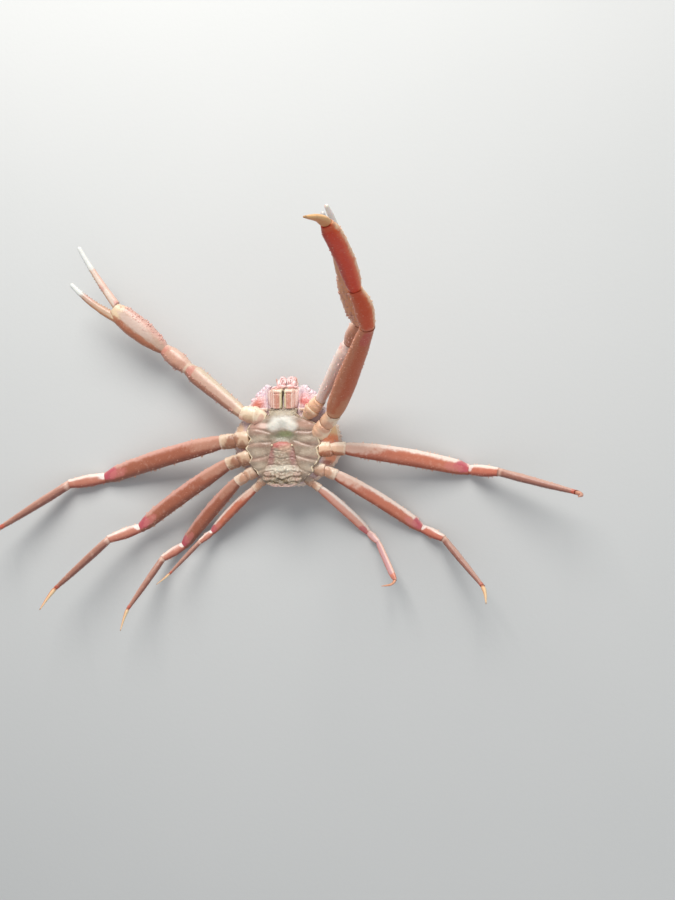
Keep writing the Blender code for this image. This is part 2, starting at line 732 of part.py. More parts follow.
def finger(name, root, ways, angle, length, widths, partner):
    """One tapering finger with its curl, and the teeth that face its partner."""
    way, across = ways
    curl = FINGER_CURL[0 if partner > 0 else 1]
    rings = []
    teeth = []
    centre = root.copy()
    steps = 10
    for k in range(steps + 1):
        place = k / steps
        turn = angle + math.radians(blend(curl[0], curl[1], place)) * partner
        heading = way * math.cos(turn) + across * math.sin(turn)
        normal = blend(way, heading, min(place * 3.0, 1.0)).normalized()
        if k > 0:
            centre = centre + heading * (length / steps)
        width = blend(widths[0], widths[1], place ** 0.8) * (0.55 if k == steps else 1.0)
        rings.append(oval(centre, normal, across, width, width * 0.95, 10))
        if 3 <= k <= 8:
            inward = across * (-partner)
            teeth.append(spine(centre + inward * width * 0.47, inward, 0.0011, 0.0022))
    return skin(name, rings), teeth


def build():
    """Make every part of the crab and cut neighbours clear."""
    random.seed(7)
    shell = carapace()
    breast = sternum()
    tail = abdomen()
    pieces = []
    for side_name in ("left", "right"):
        for number in (2, 3, 4, 5):
            pieces.append(walking_leg(side_name, number)[0])
        pieces.append(claw_arm(side_name)[0])
    for side in (1.0, -1.0):
        pieces += [maxilliped(side), eye(side), antenna(side)]
    for piece in pieces:
        cut_clear(piece, shell)
        cut_clear(piece, breast)
        keep_largest(piece)
    cut_clear(breast, tail)
    cut_clear(tail, shell)
    for piece in (breast, tail):
        keep_largest(piece)


for old in list(bpy.context.scene.objects):
    bpy.data.objects.remove(old)
build()
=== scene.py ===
# %% [markdown]
# # A snow crab, life size, laid on its back
#
# This lesson dresses a still museum model of a snow crab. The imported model
# brings the plain solids: body, tail flap, mouth, and every part of the ten
# limbs. Each of them is given a finer shell here, with its ridges, grains
# and joints, and a painted finish. Sizes are metres. Up is the underside of
# the crab, +Y is its head end and +X is its own left.

import math

import bpy
import numpy as np
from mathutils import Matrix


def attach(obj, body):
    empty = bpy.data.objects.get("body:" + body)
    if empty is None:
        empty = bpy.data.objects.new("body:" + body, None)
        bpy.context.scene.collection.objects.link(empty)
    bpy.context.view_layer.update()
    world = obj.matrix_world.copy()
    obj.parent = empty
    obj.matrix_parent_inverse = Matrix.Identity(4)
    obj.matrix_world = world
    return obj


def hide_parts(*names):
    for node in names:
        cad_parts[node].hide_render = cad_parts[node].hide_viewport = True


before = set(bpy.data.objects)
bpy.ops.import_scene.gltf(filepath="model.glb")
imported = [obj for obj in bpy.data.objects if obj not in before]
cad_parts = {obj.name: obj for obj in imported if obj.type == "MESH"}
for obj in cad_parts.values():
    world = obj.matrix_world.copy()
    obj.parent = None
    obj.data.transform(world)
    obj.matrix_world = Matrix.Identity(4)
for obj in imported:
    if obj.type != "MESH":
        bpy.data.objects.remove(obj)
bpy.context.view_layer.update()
print("solids in the frame:", len(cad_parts))

# %% [markdown]
# ## The camera
#
# The photograph looks down on the crab's underside, from above the left legs
# and a little to one side. A wide lens close to the model gives the same
# strong perspective: the raised limb reaches towards the camera and looks
# larger than the rest. The lens is worked out from the picture's long side,
# because Blender measures the sensor along it.

# %% Camera
CAMERA_PLACE = (0.1770, -0.0196, 0.7576)
CAMERA_TILT = 9.4
PICTURE_LONG = 900
FOCUS_PIXELS = 676

camera = bpy.data.objects.new("camera", bpy.data.cameras.new("camera"))
bpy.context.scene.collection.objects.link(camera)
camera.data.sensor_width = 36.0
camera.data.lens = 36.0 * FOCUS_PIXELS / PICTURE_LONG
camera.location = CAMERA_PLACE
camera.rotation_euler = (0.0, math.radians(CAMERA_TILT), 0.0)
bpy.context.scene.camera = camera
print("lens in millimetres:", round(camera.data.lens, 2))

# %% [markdown]
# ## A basket for points, faces and paint guides
#
# A crab's shell is one skin with hundreds of grains and spines on it. Every
# piece is collected in a basket first: sheets of points, then grains added
# all at once with array maths. Each point also carries a paint guide, three
# numbers that tell the finish where on the part it is, and a mark that is 1
# on grains and spines. Paint that follows these guides stays put from every
# side, which a picture laid on the model would not.

# %% The basket
MM = 0.001
NO_GUIDE = (0.0, 0.0, 0.0)
TALLY = []


class Basket:
    """Collects the points, faces and paint guides of one piece."""

    def __init__(self, name):
        self.name = name
        self.points = []
        self.guides = []
        self.marks = []
        self.faces = []
        self.count = 0

    def add(self, points, faces, guides, mark=0.0):
        """Add loose points with their faces, counted from 0."""
        points = np.asarray(points, float).reshape(-1, 3)
        guides = np.broadcast_to(guides, points.shape)
        self.faces += (np.asarray(faces) + self.count).tolist()
        self.points.append(points)
        self.guides.append(guides)
        self.marks.append(np.broadcast_to(mark, len(points)))
        self.count += len(points)

    def sheet(self, grid, guides=NO_GUIDE, closed=True, caps=True, mark=0.0):
        """Add rows of points joined by four-sided faces."""
        rows, columns = grid.shape[:2]
        steps = columns if closed else columns - 1
        row, column = np.meshgrid(np.arange(rows - 1), np.arange(steps), indexing="ij")
        near, far = row * columns, (row + 1) * columns
        after = (column + 1) % columns
        faces = np.stack([near + column, near + after, far + after, far + column], -1)
        first = self.count
        self.add(grid, faces.reshape(-1, 4), np.asarray(guides).reshape(-1, 3), np.ravel(mark))
        if closed and caps:
            last = first + (rows - 1) * columns
            self.faces.append(list(range(first + columns - 1, first - 1, -1)))
            self.faces.append(list(range(last, last + columns)))

    def make(self, finish, nodes):
        """Turn the basket into an object that stands for CAD nodes."""
        mesh = bpy.data.meshes.new(self.name)
        points = np.concatenate(self.points)
        mesh.from_pydata(points.tolist(), [], self.faces)
        guide = mesh.attributes.new("guide", "FLOAT_VECTOR", "POINT")
        guide.data.foreach_set("vector", np.concatenate(self.guides).astype(np.float32).ravel())
        mark = mesh.attributes.new("mark", "FLOAT", "POINT")
        mark.data.foreach_set("value", np.concatenate(self.marks).astype(np.float32))
        mesh.validate()
        mesh.shade_smooth()
        mesh.materials.append(finish)
        piece = bpy.data.objects.new(self.name, mesh)
        bpy.context.scene.collection.objects.link(piece)
        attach(piece, "root")
        if nodes:
            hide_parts(*nodes)
        TALLY.append(len(mesh.polygons))


print("basket ready, unit in metres:", MM)

# %% [markdown]
# ## Small helpers
#
# Soft steps and soft bumps shape everything that follows: a value rises from
# 0 to 1 between two limits, or stands up like a bell. They work on whole
# arrays, so that one line shapes a whole sheet of points.

# %% Small helpers


def unit(v):
    """Vectors of length one."""
    v = np.asarray(v, float)
    return v / np.maximum(np.linalg.norm(v, axis=-1, keepdims=True), 1e-12)


def between(x, low, high):
    """0 below low, 1 above high, and a soft rise between them."""
    t = np.clip((np.asarray(x, float) - low) / (high - low), 0.0, 1.0)
    return t * t * (3.0 - 2.0 * t)


def bell(x, centre, spread):
    """A soft bump of height 1."""
    return np.exp(-((np.asarray(x, float) - centre) / spread) ** 2)


def full_turn(count):
    """Even steps once round a circle."""
    return np.arange(count) * 2 * math.pi / count


def oval(centre, across, up, turn, wide, deep):
    """Points of an oval ring about a centre."""
    return centre + (np.cos(turn) * wide)[:, None] * across + (np.sin(turn) * deep)[:, None] * up


def side_guides(along, turn, front, belly):
    """Paint guides of one ring."""
    return np.stack([np.full(len(turn), along), np.cos(turn) * front, np.sin(turn) * belly], -1)


def sign_of(value):
    """1 for a number above 0, or -1."""
    return 1 if value > 0 else -1


print("a soft rise is half way at", float(between(0.5, 0, 1)))

# %% [markdown]
# ## Grains and spines
#
# The shell is set with small blunt grains, and with sharper spines on the
# edges of the limbs and of the body. One grain is four rings of points, from
# a foot sunk into the shell to a shoulder, and a tip. All grains of a piece
# are laid out in one array, which is far quicker than one object each.

# %% Grains
GRAIN_SIDES = 7
# Rings of a grain: share of the width, how much sharpness takes off, share of the height
GRAIN_RINGS = ((0.56, 0.0, -0.45), (0.50, 0.0, 0.10), (0.50, 0.22, 0.50), (0.30, 0.20, 0.86))
GRAIN_POINTS = len(GRAIN_RINGS) * GRAIN_SIDES + 1


def grain_faces():
    """Faces of one grain: quads between its rings, then triangles at its tip."""
    here = np.arange(GRAIN_SIDES)
    after = (here + 1) % GRAIN_SIDES
    band = np.stack([here, after, after + GRAIN_SIDES, here + GRAIN_SIDES], -1)
    quads = [band + ring * GRAIN_SIDES for ring in range(len(GRAIN_RINGS) - 1)]
    last = GRAIN_POINTS - 1 - GRAIN_SIDES
    tips = np.stack([last + here, last + after, np.full(GRAIN_SIDES, GRAIN_POINTS - 1)], -1)
    return np.concatenate(quads), tips


QUADS, TIPS = grain_faces()


def stand_grains(basket, spots, facings, widths, heights, sharp=0.5, mark=1.0, guides=NO_GUIDE):
    """Set a grain at each spot, facing outward."""
    spots = np.asarray(spots, float)
    facings = unit(facings)
    level = np.abs(facings[:, 2:3]) < 0.9
    across = unit(np.cross(facings, np.where(level, (0.0, 0.0, 1.0), (1.0, 0.0, 0.0))))
    up = np.cross(facings, across)
    turn = full_turn(GRAIN_SIDES)[None, :, None]
    circle = np.cos(turn) * across[:, None, :] + np.sin(turn) * up[:, None, :]
    widths = np.broadcast_to(widths, len(spots))[:, None, None]
    heights = np.broadcast_to(heights, len(spots))[:, None, None]
    foot, out = spots[:, None, :], facings[:, None, :]
    rings = [foot + circle * widths * (radius - less * sharp) + out * heights * lift
             for radius, less, lift in GRAIN_RINGS]
    points = np.concatenate(rings + [foot + out * heights], axis=1)
    shift = (np.arange(len(spots)) * GRAIN_POINTS)[:, None, None]
    first = basket.count
    guides = np.repeat(np.broadcast_to(guides, spots.shape), GRAIN_POINTS, axis=0)
    basket.add(points, (QUADS + shift).reshape(-1, 4), guides, mark)
    basket.faces += (TIPS + shift + first).reshape(-1, 3).tolist()


print("faces in one grain:", len(QUADS) + len(TIPS))

# %% [markdown]
# ## One limb part as a smooth tube
#
# A walking leg is five stiff tubes in a row. The real ones are flat ovals in
# section, a little swollen at the middle, with a raised rim at the far end
# that holds the next part, like a cup. A lathe or a bevelled curve would be
# round, so the tube is worked out by formula instead: any place along it and
# any turn round it gives a point. The sheet of the skin and every grain ask
# the same formula, so that grains always stand on the surface.

# %% The tube
GAP = 0.0003
LIP = 0.0022
NECK = 0.0030
# How far in from each joint the section turns from the joint plane to square
JOINT_BLEND = 0.18
# Below 1 the section is a little boxy
ROUNDNESS = 0.86
SOFTEN_PASSES, PROFILE_STEPS = 60, 161
WAVES_ALONG = 6
RIM_SWELL, RIM_GROOVE, NECK_PINCH, WAVINESS = 0.055, 0.035, 0.06, 0.0045
# Extra rings at the two ends: share of the size and shift along the part in metres
NECK_RINGS = ((0.60, -0.0006), (0.90, -0.0005), (0.965, -0.0003))
CUP_RINGS = ((0.965, 0.0), (0.94, -0.0007), (0.55, -0.0009))


def end_rings(ring, normal, steps):
    """Copies of an end ring, shrunk and shifted."""
    centre = ring.mean(axis=0)
    return np.stack([centre + (ring - centre) * scale + normal * push for scale, push in steps])


class Tube:
    """A limb part between two joint planes, broad along one direction."""

    def __init__(self, ends, normals, side, profile, bow=(0, 0, 0), span=(0, 1), seed=1):
        self.start, self.stop = (np.array(e, float) for e in ends)
        self.length = float(np.linalg.norm(self.stop - self.start))
        self.axis = unit(self.stop - self.start)
        self.normals = [unit(n) for n in normals]
        self.side = np.array(side, float)
        self.bow = np.array(bow, float)
        self.span = span
        self.fine = np.linspace(0.0, 1.0, PROFILE_STEPS)
        places, widths, depths = np.array(profile, float).T
        self.widths = self.soften(np.interp(self.fine, places, widths))
        self.depths = self.soften(np.interp(self.fine, places, depths))
        dice = np.random.default_rng(seed)
        self.waves = [(dice.uniform(4, 22), dice.integers(1, 5), dice.uniform(0, 6.3))
                      for _ in range(WAVES_ALONG)]
        self.front = sign_of(self.side[1])

    @staticmethod
    def soften(values):
        """Round the corners of a profile, keeping its two ends."""
        ends = values[0], values[-1]
        for _ in range(SOFTEN_PASSES):
            values = np.convolve(np.pad(values, 1, mode="edge"), (0.25, 0.5, 0.25), mode="valid")
            values[0], values[-1] = ends
        return values

    def at(self, t, turn):
        """Points of the skin at places along and turns round."""
        t, turn = np.broadcast_arrays(np.asarray(t, float), np.asarray(turn, float))
        near = np.clip(t / JOINT_BLEND, 0, 1)[..., None]
        far = np.clip((1 - t) / JOINT_BLEND, 0, 1)[..., None]
        normal = unit(np.where(t[..., None] < 0.5, self.normals[0] * (1 - near) + self.axis * near,
                               self.normals[1] * (1 - far) + self.axis * far))
        across = unit(self.side - normal * (normal @ self.side)[..., None])
        up = np.cross(normal, across)
        reach = t * self.length
        rest = (1 - t) * self.length
        swell = 1.0 + RIM_SWELL * bell(rest, 0, LIP) - RIM_GROOVE * bell(rest, 2.4 * LIP, LIP)
        swell = swell * (1.0 - NECK_PINCH * bell(reach, 0, NECK))
        for beat, petals, phase in self.waves:
            swell = swell + WAVINESS * np.sin(beat * t + petals * turn + phase)
        width = np.interp(t, self.fine, self.widths) * swell / 2
        depth = np.interp(t, self.fine, self.depths) * swell / 2
        c, s = (np.sign(v) * np.abs(v) ** ROUNDNESS for v in (np.cos(turn), np.sin(turn)))
        centre = self.start + (self.stop - self.start) * t[..., None]
        centre = centre + self.bow * (4 * t * (1 - t))[..., None]
        points = centre + across * (c * width)[..., None] + up * (s * depth)[..., None]
        points[..., 2] = np.maximum(points[..., 2], 0.0)
        return points

    def facing(self, t, turn):
        """Which way the skin faces at places along and turns round."""
        along = self.at(t + 0.004, turn) - self.at(t - 0.004, turn)
        round_ = self.at(t, turn + 0.03) - self.at(t, turn - 0.03)
        return unit(np.cross(along, round_)) * -1.0

    def guide(self, t, turn):
        """Paint guide: along, towards the head end, towards the belly side."""
        t, turn = np.broadcast_arrays(np.asarray(t, float), np.asarray(turn, float))
        belly = sign_of(np.cross(self.axis, self.side)[2])
        along = self.span[0] + (self.span[1] - self.span[0]) * t
        return np.stack([along, np.cos(turn) * self.front, np.sin(turn) * belly], -1)

    def skin(self, basket, rows=60, columns=32):
        """Add the tube, with a neck at its near end and a cup at its far end."""
        s = np.linspace(0, 1, rows)[:, None]
        t = 0.5 * s + 0.5 * (0.5 - 0.5 * np.cos(math.pi * s))
        turn = full_turn(columns)[None, :]
        grid = self.at(t, turn)
        guides = self.guide(t, turn)
        neck = end_rings(grid[0], self.normals[0], NECK_RINGS)
        cup = end_rings(grid[-1], self.normals[1], CUP_RINGS)
        whole = np.concatenate([neck, grid, cup])
        whole[..., 2] = np.maximum(whole[..., 2], 0.0)
        rows = [guides[:1]] * len(neck) + [guides] + [guides[-1:]] * len(cup)
        basket.sheet(whole, np.concatenate(rows))

    def grains(self, basket, dice, count, turns, spread, width, height, span=(0.05, 0.96),
               sharp=0.5):
        """A band of grains along the tube, round some turns."""
        t = dice.uniform(*span, count)
        turn = dice.choice(np.asarray(turns, float), count) + dice.normal(0, spread, count)
        size = dice.uniform(0.6, 1.25, count)
        stand_grains(basket, self.at(t, turn), self.facing(t, turn), width * size, height * size,
                     sharp, guides=self.guide(t, turn))


print("tube ready, rim", LIP / MM, "mm")

# %% [markdown]
# ## Headings and chains
#
# A limb is posed as in the photograph by two angles for each part, its
# heading seen from above and its slope. Walking from joint to joint gives
# the joint points, and the plane of a joint halves the angle between its
# two parts, so that they meet without a wedge of air.

# %% Headings and chains


def heading(turn, slope):
    """Unit vector for a heading and a slope in degrees."""
    turn, slope = math.radians(turn), math.radians(slope)
    level = math.cos(slope)
    return np.array([math.cos(turn) * level, math.sin(turn) * level, math.sin(slope)])


def chain(start, poses, lengths, rest=0.0):
    """Joint points, part directions and joint planes along a limb."""
    points = [np.array(start, float) * MM]
    ways = []
    for (turn, slope), length in zip(poses, lengths):
        if slope is None:
            slope = math.degrees(math.asin((rest - points[-1][2]) / length))
        ways.append(heading(turn, slope))
        points.append(points[-1] + ways[-1] * length)
    planes = [ways[0]] + [unit(a + b) for a, b in zip(ways, ways[1:])] + [ways[-1]]
    return points, ways, planes


print("heading 0, slope 90:", heading(0, 90).round(3))

# %% [markdown]
# ## Paint by expressions
#
# A finish is a small network of nodes. Written as a list of nodes and links
# it is hard to read, so a socket is wrapped in a class whose plus, minus and
# times add the Math nodes themselves. Colours are mixed through one method,
# and every other node comes from another. Colours are given as they look on
# a screen, from 0 to 255, and turned into the linear values that light needs.

# %% Sums of sockets


def tone(shade):
    """A screen colour as linear light."""
    def linear(v):
        v = v / 255.0
        return v / 12.92 if v <= 0.04045 else ((v + 0.055) / 1.055) ** 2.4
    return (*(linear(v) for v in shade), 1.0)


class Value:
    """A socket that can be used in sums."""

    def __init__(self, paint, socket):
        self.paint = paint
        self.socket = socket

    def sum(self, operation, a, b):
        """A Math node over two numbers or sockets."""
        return self.paint.node("ShaderNodeMath", {"operation": operation}, {0: a, 1: b})

    def __add__(self, other):
        return self.sum("ADD", self, other)

    def __radd__(self, other):
        return self.sum("ADD", other, self)

    def __sub__(self, other):
        return self.sum("SUBTRACT", self, other)

    def __rsub__(self, other):
        return self.sum("SUBTRACT", other, self)

    def __mul__(self, other):
        return self.sum("MULTIPLY", self, other)

    def __rmul__(self, other):
        return self.sum("MULTIPLY", other, self)

    def step(self, low, high):
        """0 below low, 1 above high, and a soft rise between them."""
        return self.paint.node("ShaderNodeMapRange", {"interpolation_type": "SMOOTHSTEP"},
                               {0: self, 1: low, 2: high})

    def band(self, low, high, soft):
        """1 between low and high, with soft edges."""
        return self.step(low - soft, low + soft) * (1.0 - self.step(high - soft, high + soft))


print("screen grey 128 as linear light:", round(tone((128, 128, 128))[0], 3))

# %% [markdown]
# ## The paint class
#
# A finish starts with two colours and lays others over them, each as much as
# a share says. The share comes from a place, a guide, a mark or a cloud of
# noise. Ovals seen from above, with a ragged edge, lay real stains and some
# painted shade. All finishes end in one shader with fine relief and a thin
# wet coat.

# %% The paint class
# A spot takes no notice of height, so its third radius is very large
SPOT_DEPTH = 1000.0
# What all finishes share
FIXED = {"Coat Roughness": 0.22, "Specular IOR Level": 0.5}
# A little light passes into the shell, red furthest
GLOW = {"Subsurface Scale": 0.0025, "Subsurface Radius": (1.0, 0.65, 0.5)}


class Paint:
    """The node network of one finish, with the colour laid so far."""

    def __init__(self, name):
        self.material = bpy.data.materials.new(name)
        self.material.use_nodes = True
        self.tree = self.material.node_tree
        self.tree.nodes.clear()
        self.mark = self.node("ShaderNodeAttribute", {"attribute_name": "mark"}, out="Fac")
        self.place = self.node("ShaderNodeTexCoord", out="Object")
        self.colour = None

    def node(self, kind, settings=None, sockets=None, out=0):
        """Add a node, give its settings, fill its sockets and hand back one output."""
        made = self.tree.nodes.new(kind)
        for name, value in (settings or {}).items():
            setattr(made, name, value)
        for name, value in (sockets or {}).items():
            if isinstance(value, Value):
                self.tree.links.new(value.socket, made.inputs[name])
            else:
                made.inputs[name].default_value = value
        return Value(self, made.outputs[out])

    def parts(self, vector):
        """The three numbers of a vector."""
        return [self.node("ShaderNodeSeparateXYZ", {}, {0: vector}, out=k) for k in range(3)]

    def noise(self, scale, detail=3.0, rough=0.55):
        """Cloudy noise from 0 to 1, with a size given as cycles in a metre."""
        return self.node("ShaderNodeTexNoise", {}, {"Vector": self.place, "Scale": scale,
                                                    "Detail": detail, "Roughness": rough})

    def spot(self, measures, soft, wander):
        """1 inside an oval and 0 outside it, from x, y and two radii in millimetres."""
        x, y, wide, long = (v * MM for v in measures)
        offset = self.node("ShaderNodeVectorMath", {"operation": "SUBTRACT"},
                           {0: self.place, 1: (x, y, 0.0)})
        ratio = self.node("ShaderNodeVectorMath", {"operation": "DIVIDE"},
                          {0: offset, 1: (wide, long, SPOT_DEPTH)})
        far = self.node("ShaderNodeVectorMath", {"operation": "LENGTH"}, {0: ratio}, out="Value")
        far = far + (self.noise(180.0) - 0.5) * wander
        return 1.0 - far.step(1.0 - soft, 1.0 + soft)

    def mix(self, a, b, share):
        """Colour part way from a to b."""
        return self.node("ShaderNodeMix", {"data_type": "RGBA"}, {0: share, 6: a, 7: b}, out=2)

    def start(self, first, second, share):
        """Begin with two colours, mixed by a share."""
        self.colour = self.mix(tone(first), tone(second), share)

    def lay(self, shade, share):
        """Lay a colour over what is there, as much as the share says."""
        self.colour = self.mix(self.colour, tone(shade), share)

    # Lays real stains, and on some parts painted shade, as ovals
    def stains_and_shade(self, table, where=1.0):
        """Lay ovals of colour. A row is colour, share, softness, wander of the edge, ovals."""
        for shade, share, soft, wander, ovals in table:
            for measures in ovals:
                self.lay(shade, self.spot(measures, soft, wander) * (share * where))

    def finish(self, rough, height, depth, coat=0.25, glow=0.0):
        """The shader itself: colour, gloss, fine relief and a thin wet coat."""
        bump = self.node("ShaderNodeBump", {},
                         {"Strength": 1.0, "Distance": depth, "Height": height})
        sockets = {**FIXED, "Base Color": self.colour, "Roughness": rough, "Normal": bump,
                   "Coat Weight": coat}
        if glow:
            sockets.update(GLOW, **{"Subsurface Weight": glow})
        shader = self.node("ShaderNodeBsdfPrincipled", {}, sockets)
        output = self.tree.nodes.new("ShaderNodeOutputMaterial")
        self.tree.links.new(shader.socket, output.inputs["Surface"])
        return self.material


print("gloss that all finishes share:", FIXED)

# %% [markdown]
# ## The finish of a limb
#
# A fresh snow crab is brick to salmon on the side it shows the light and
# cream underneath, with rose red at the joints. The colour runs along each
# part in long soft streaks, paler on the edge towards the head. That pale
# head edge and the darker rear edge are partly the shell's own colour and
# partly painted highlight and painted shade. On top lie clouds, tiny dark
# specks and pale grains. One function makes a finish of this kind from a
# few colours, so that each part of the limb gets its own.

# %% Limb finish
DARK_BACK, PALE_GRAIN = (142, 76, 54), (226, 178, 152)
CLOUD_LIGHT, CLOUD_DARK = (246, 216, 196), (136, 58, 42)
SPECK_LIGHT, SPECK_DARK = (248, 226, 210), (120, 52, 40)
PALE_LIT_EDGE_START, PALE_LIT_EDGE_RISE = 0.30, 0.42


def limb_finish(name, tones, bands=(), back=DARK_BACK, grain=PALE_GRAIN, rough=0.40, coat=0.25,
                glow=0.0, streak=0.5, spread=0.5, pale_lit_edge=None, patches=()):
    """A shell finish that runs from the head edge to the rear edge.

    The tones are those of the head edge, the middle and the rear edge. A
    lighter edge is partly a painted highlight and a darker edge partly
    painted shade, on top of the shell's own colour.
    A band is (from, to, colour, share) along the part. A patch is an uneven
    oval: (along, across, its two half sizes, colour, share), where across
    runs from -1 at the rear edge to 1 at the head edge. A pale strip on the
    head edge is given as its colour, how much of it shows, and where across
    the part it starts; it is partly the shell's own colour and partly a
    painted highlight.
    """
    edge, middle, rear = tones
    p = Paint(name)
    guide = p.node("ShaderNodeAttribute", {"attribute_name": "guide"}, out="Vector")
    along, front, belly = p.parts(guide)
    sway = p.noise(55.0, 3.0) - 0.5
    across = front + sway * spread
    drift = p.noise(9.0, 1.0).step(0.35, 0.65)
    # Rear edge to head edge: a lighter edge is partly a painted highlight, a darker edge partly
    # painted shade
    p.start(rear, middle, across.step(-0.95, -0.15))
    p.lay(edge, across.step(0.10, 0.85) * (drift * 0.3 + 0.7))
    # Pale strip on the head edge: partly the shell's own colour, partly a painted highlight
    if pale_lit_edge:
        shade, share, start = pale_lit_edge
        ragged = across + (p.noise(230.0, 3.0) - 0.5) * 0.5
        p.lay(shade, ragged.step(start, start + PALE_LIT_EDGE_RISE) * share)
    for low, high, shade, share in bands:
        uneven = along + sway * 0.12 + (p.noise(160.0) - 0.5) * 0.05
        p.lay(shade, uneven.band(low, high, 0.03) * share)
    for at, place, long, wide, shade, share in patches:
        ahead = (along - at) * (1.0 / long)
        aside = (front - place) * (1.0 / wide)
        far = ahead * ahead + aside * aside + (p.noise(170.0, 3.0) - 0.5) * 1.9
        p.lay(shade, (1.0 - far.step(0.45, 1.35)) * share)
    p.lay(back, (0.0 - belly).step(0.25, 0.9) * 0.85)
    cloud = p.noise(150.0, 4.0, 0.6)
    p.lay(CLOUD_LIGHT, cloud.step(0.54, 0.78) * 0.38 * streak)
    p.lay(CLOUD_DARK, (1.0 - cloud).step(0.54, 0.78) * 0.38 * streak)
    speck = p.noise(1300.0, 2.0, 0.5)
    p.lay(SPECK_DARK, speck.step(0.66, 0.74) * 0.2)
    p.lay(SPECK_LIGHT, (1.0 - speck).step(0.66, 0.74) * 0.25)
    p.lay(grain, p.mark * 0.7)
    gloss = rough + (cloud - 0.5) * 0.22 + (speck - 0.5) * 0.12
    relief = 0.7 * p.noise(420.0, 4.0, 0.6) + 0.3 * speck
    return p.finish(gloss, relief, 0.00055, coat, glow)


print("a crest fades in over", PALE_LIT_EDGE_RISE, "of half the width")

# %% [markdown]
# ## Colours of the walking legs
#
# The crab's right legs are a duller brick than its left ones, the raised
# first leg is terracotta to orange red, and the rear legs have pale bases.
# Every knee is wine red and every shin starts white. Each kind is a table of
# a few colours, so that one part can be changed without touching the rest.

# %% Leg colours
WINE, WHITE, RED = (196, 84, 98), (246, 230, 220), (200, 84, 60)
KNEE_PATCHES = ((0.94, 0.25, 0.07, 0.85, WINE, 0.9),
                (0.87, -0.1, 0.09, 0.5, (214, 126, 118), 0.6))
SHIN_PATCHES = ((0.06, 0.5, 0.15, 0.75, WHITE, 0.95),
                (0.75, 0.75, 0.3, 0.4, (244, 222, 206), 0.6))
MIDDLE_STAIN = ((0.56, -0.1, 0.26, 0.85), (0.2, -0.5, 0.12, 0.5))
LOW_STAIN = ((0.34, -0.6, 0.42, 0.5), (0.8, -0.75, 0.2, 0.3))
STAIN_SHARES = (0.85, 0.6)
BASE_BACK, TIP_BACK = (150, 98, 80), (206, 150, 110)
TIP_BANDS = ((0.0, 0.07, RED, 0.7), (0.95, 1.0, (110, 74, 50), 0.7))


def base_paint(tones, stain, ovals=MIDDLE_STAIN):
    """The short base parts: cream, with an uneven brown stain on each."""
    edge = tones[0]
    return dict(tones=tones, bands=((0.44, 0.52, edge, 0.3), (0.93, 1.0, edge, 0.4)),
                back=BASE_BACK, glow=0.05, spread=0.9,
                patches=[(*sizes, stain, share) for sizes, share in zip(ovals, STAIN_SHARES)])


def tip_paint(tones, bands=(), back=DARK_BACK):
    """The last part of a leg: horny and dull."""
    return dict(tones=tones, bands=bands, back=back, rough=0.5, coat=0.12)


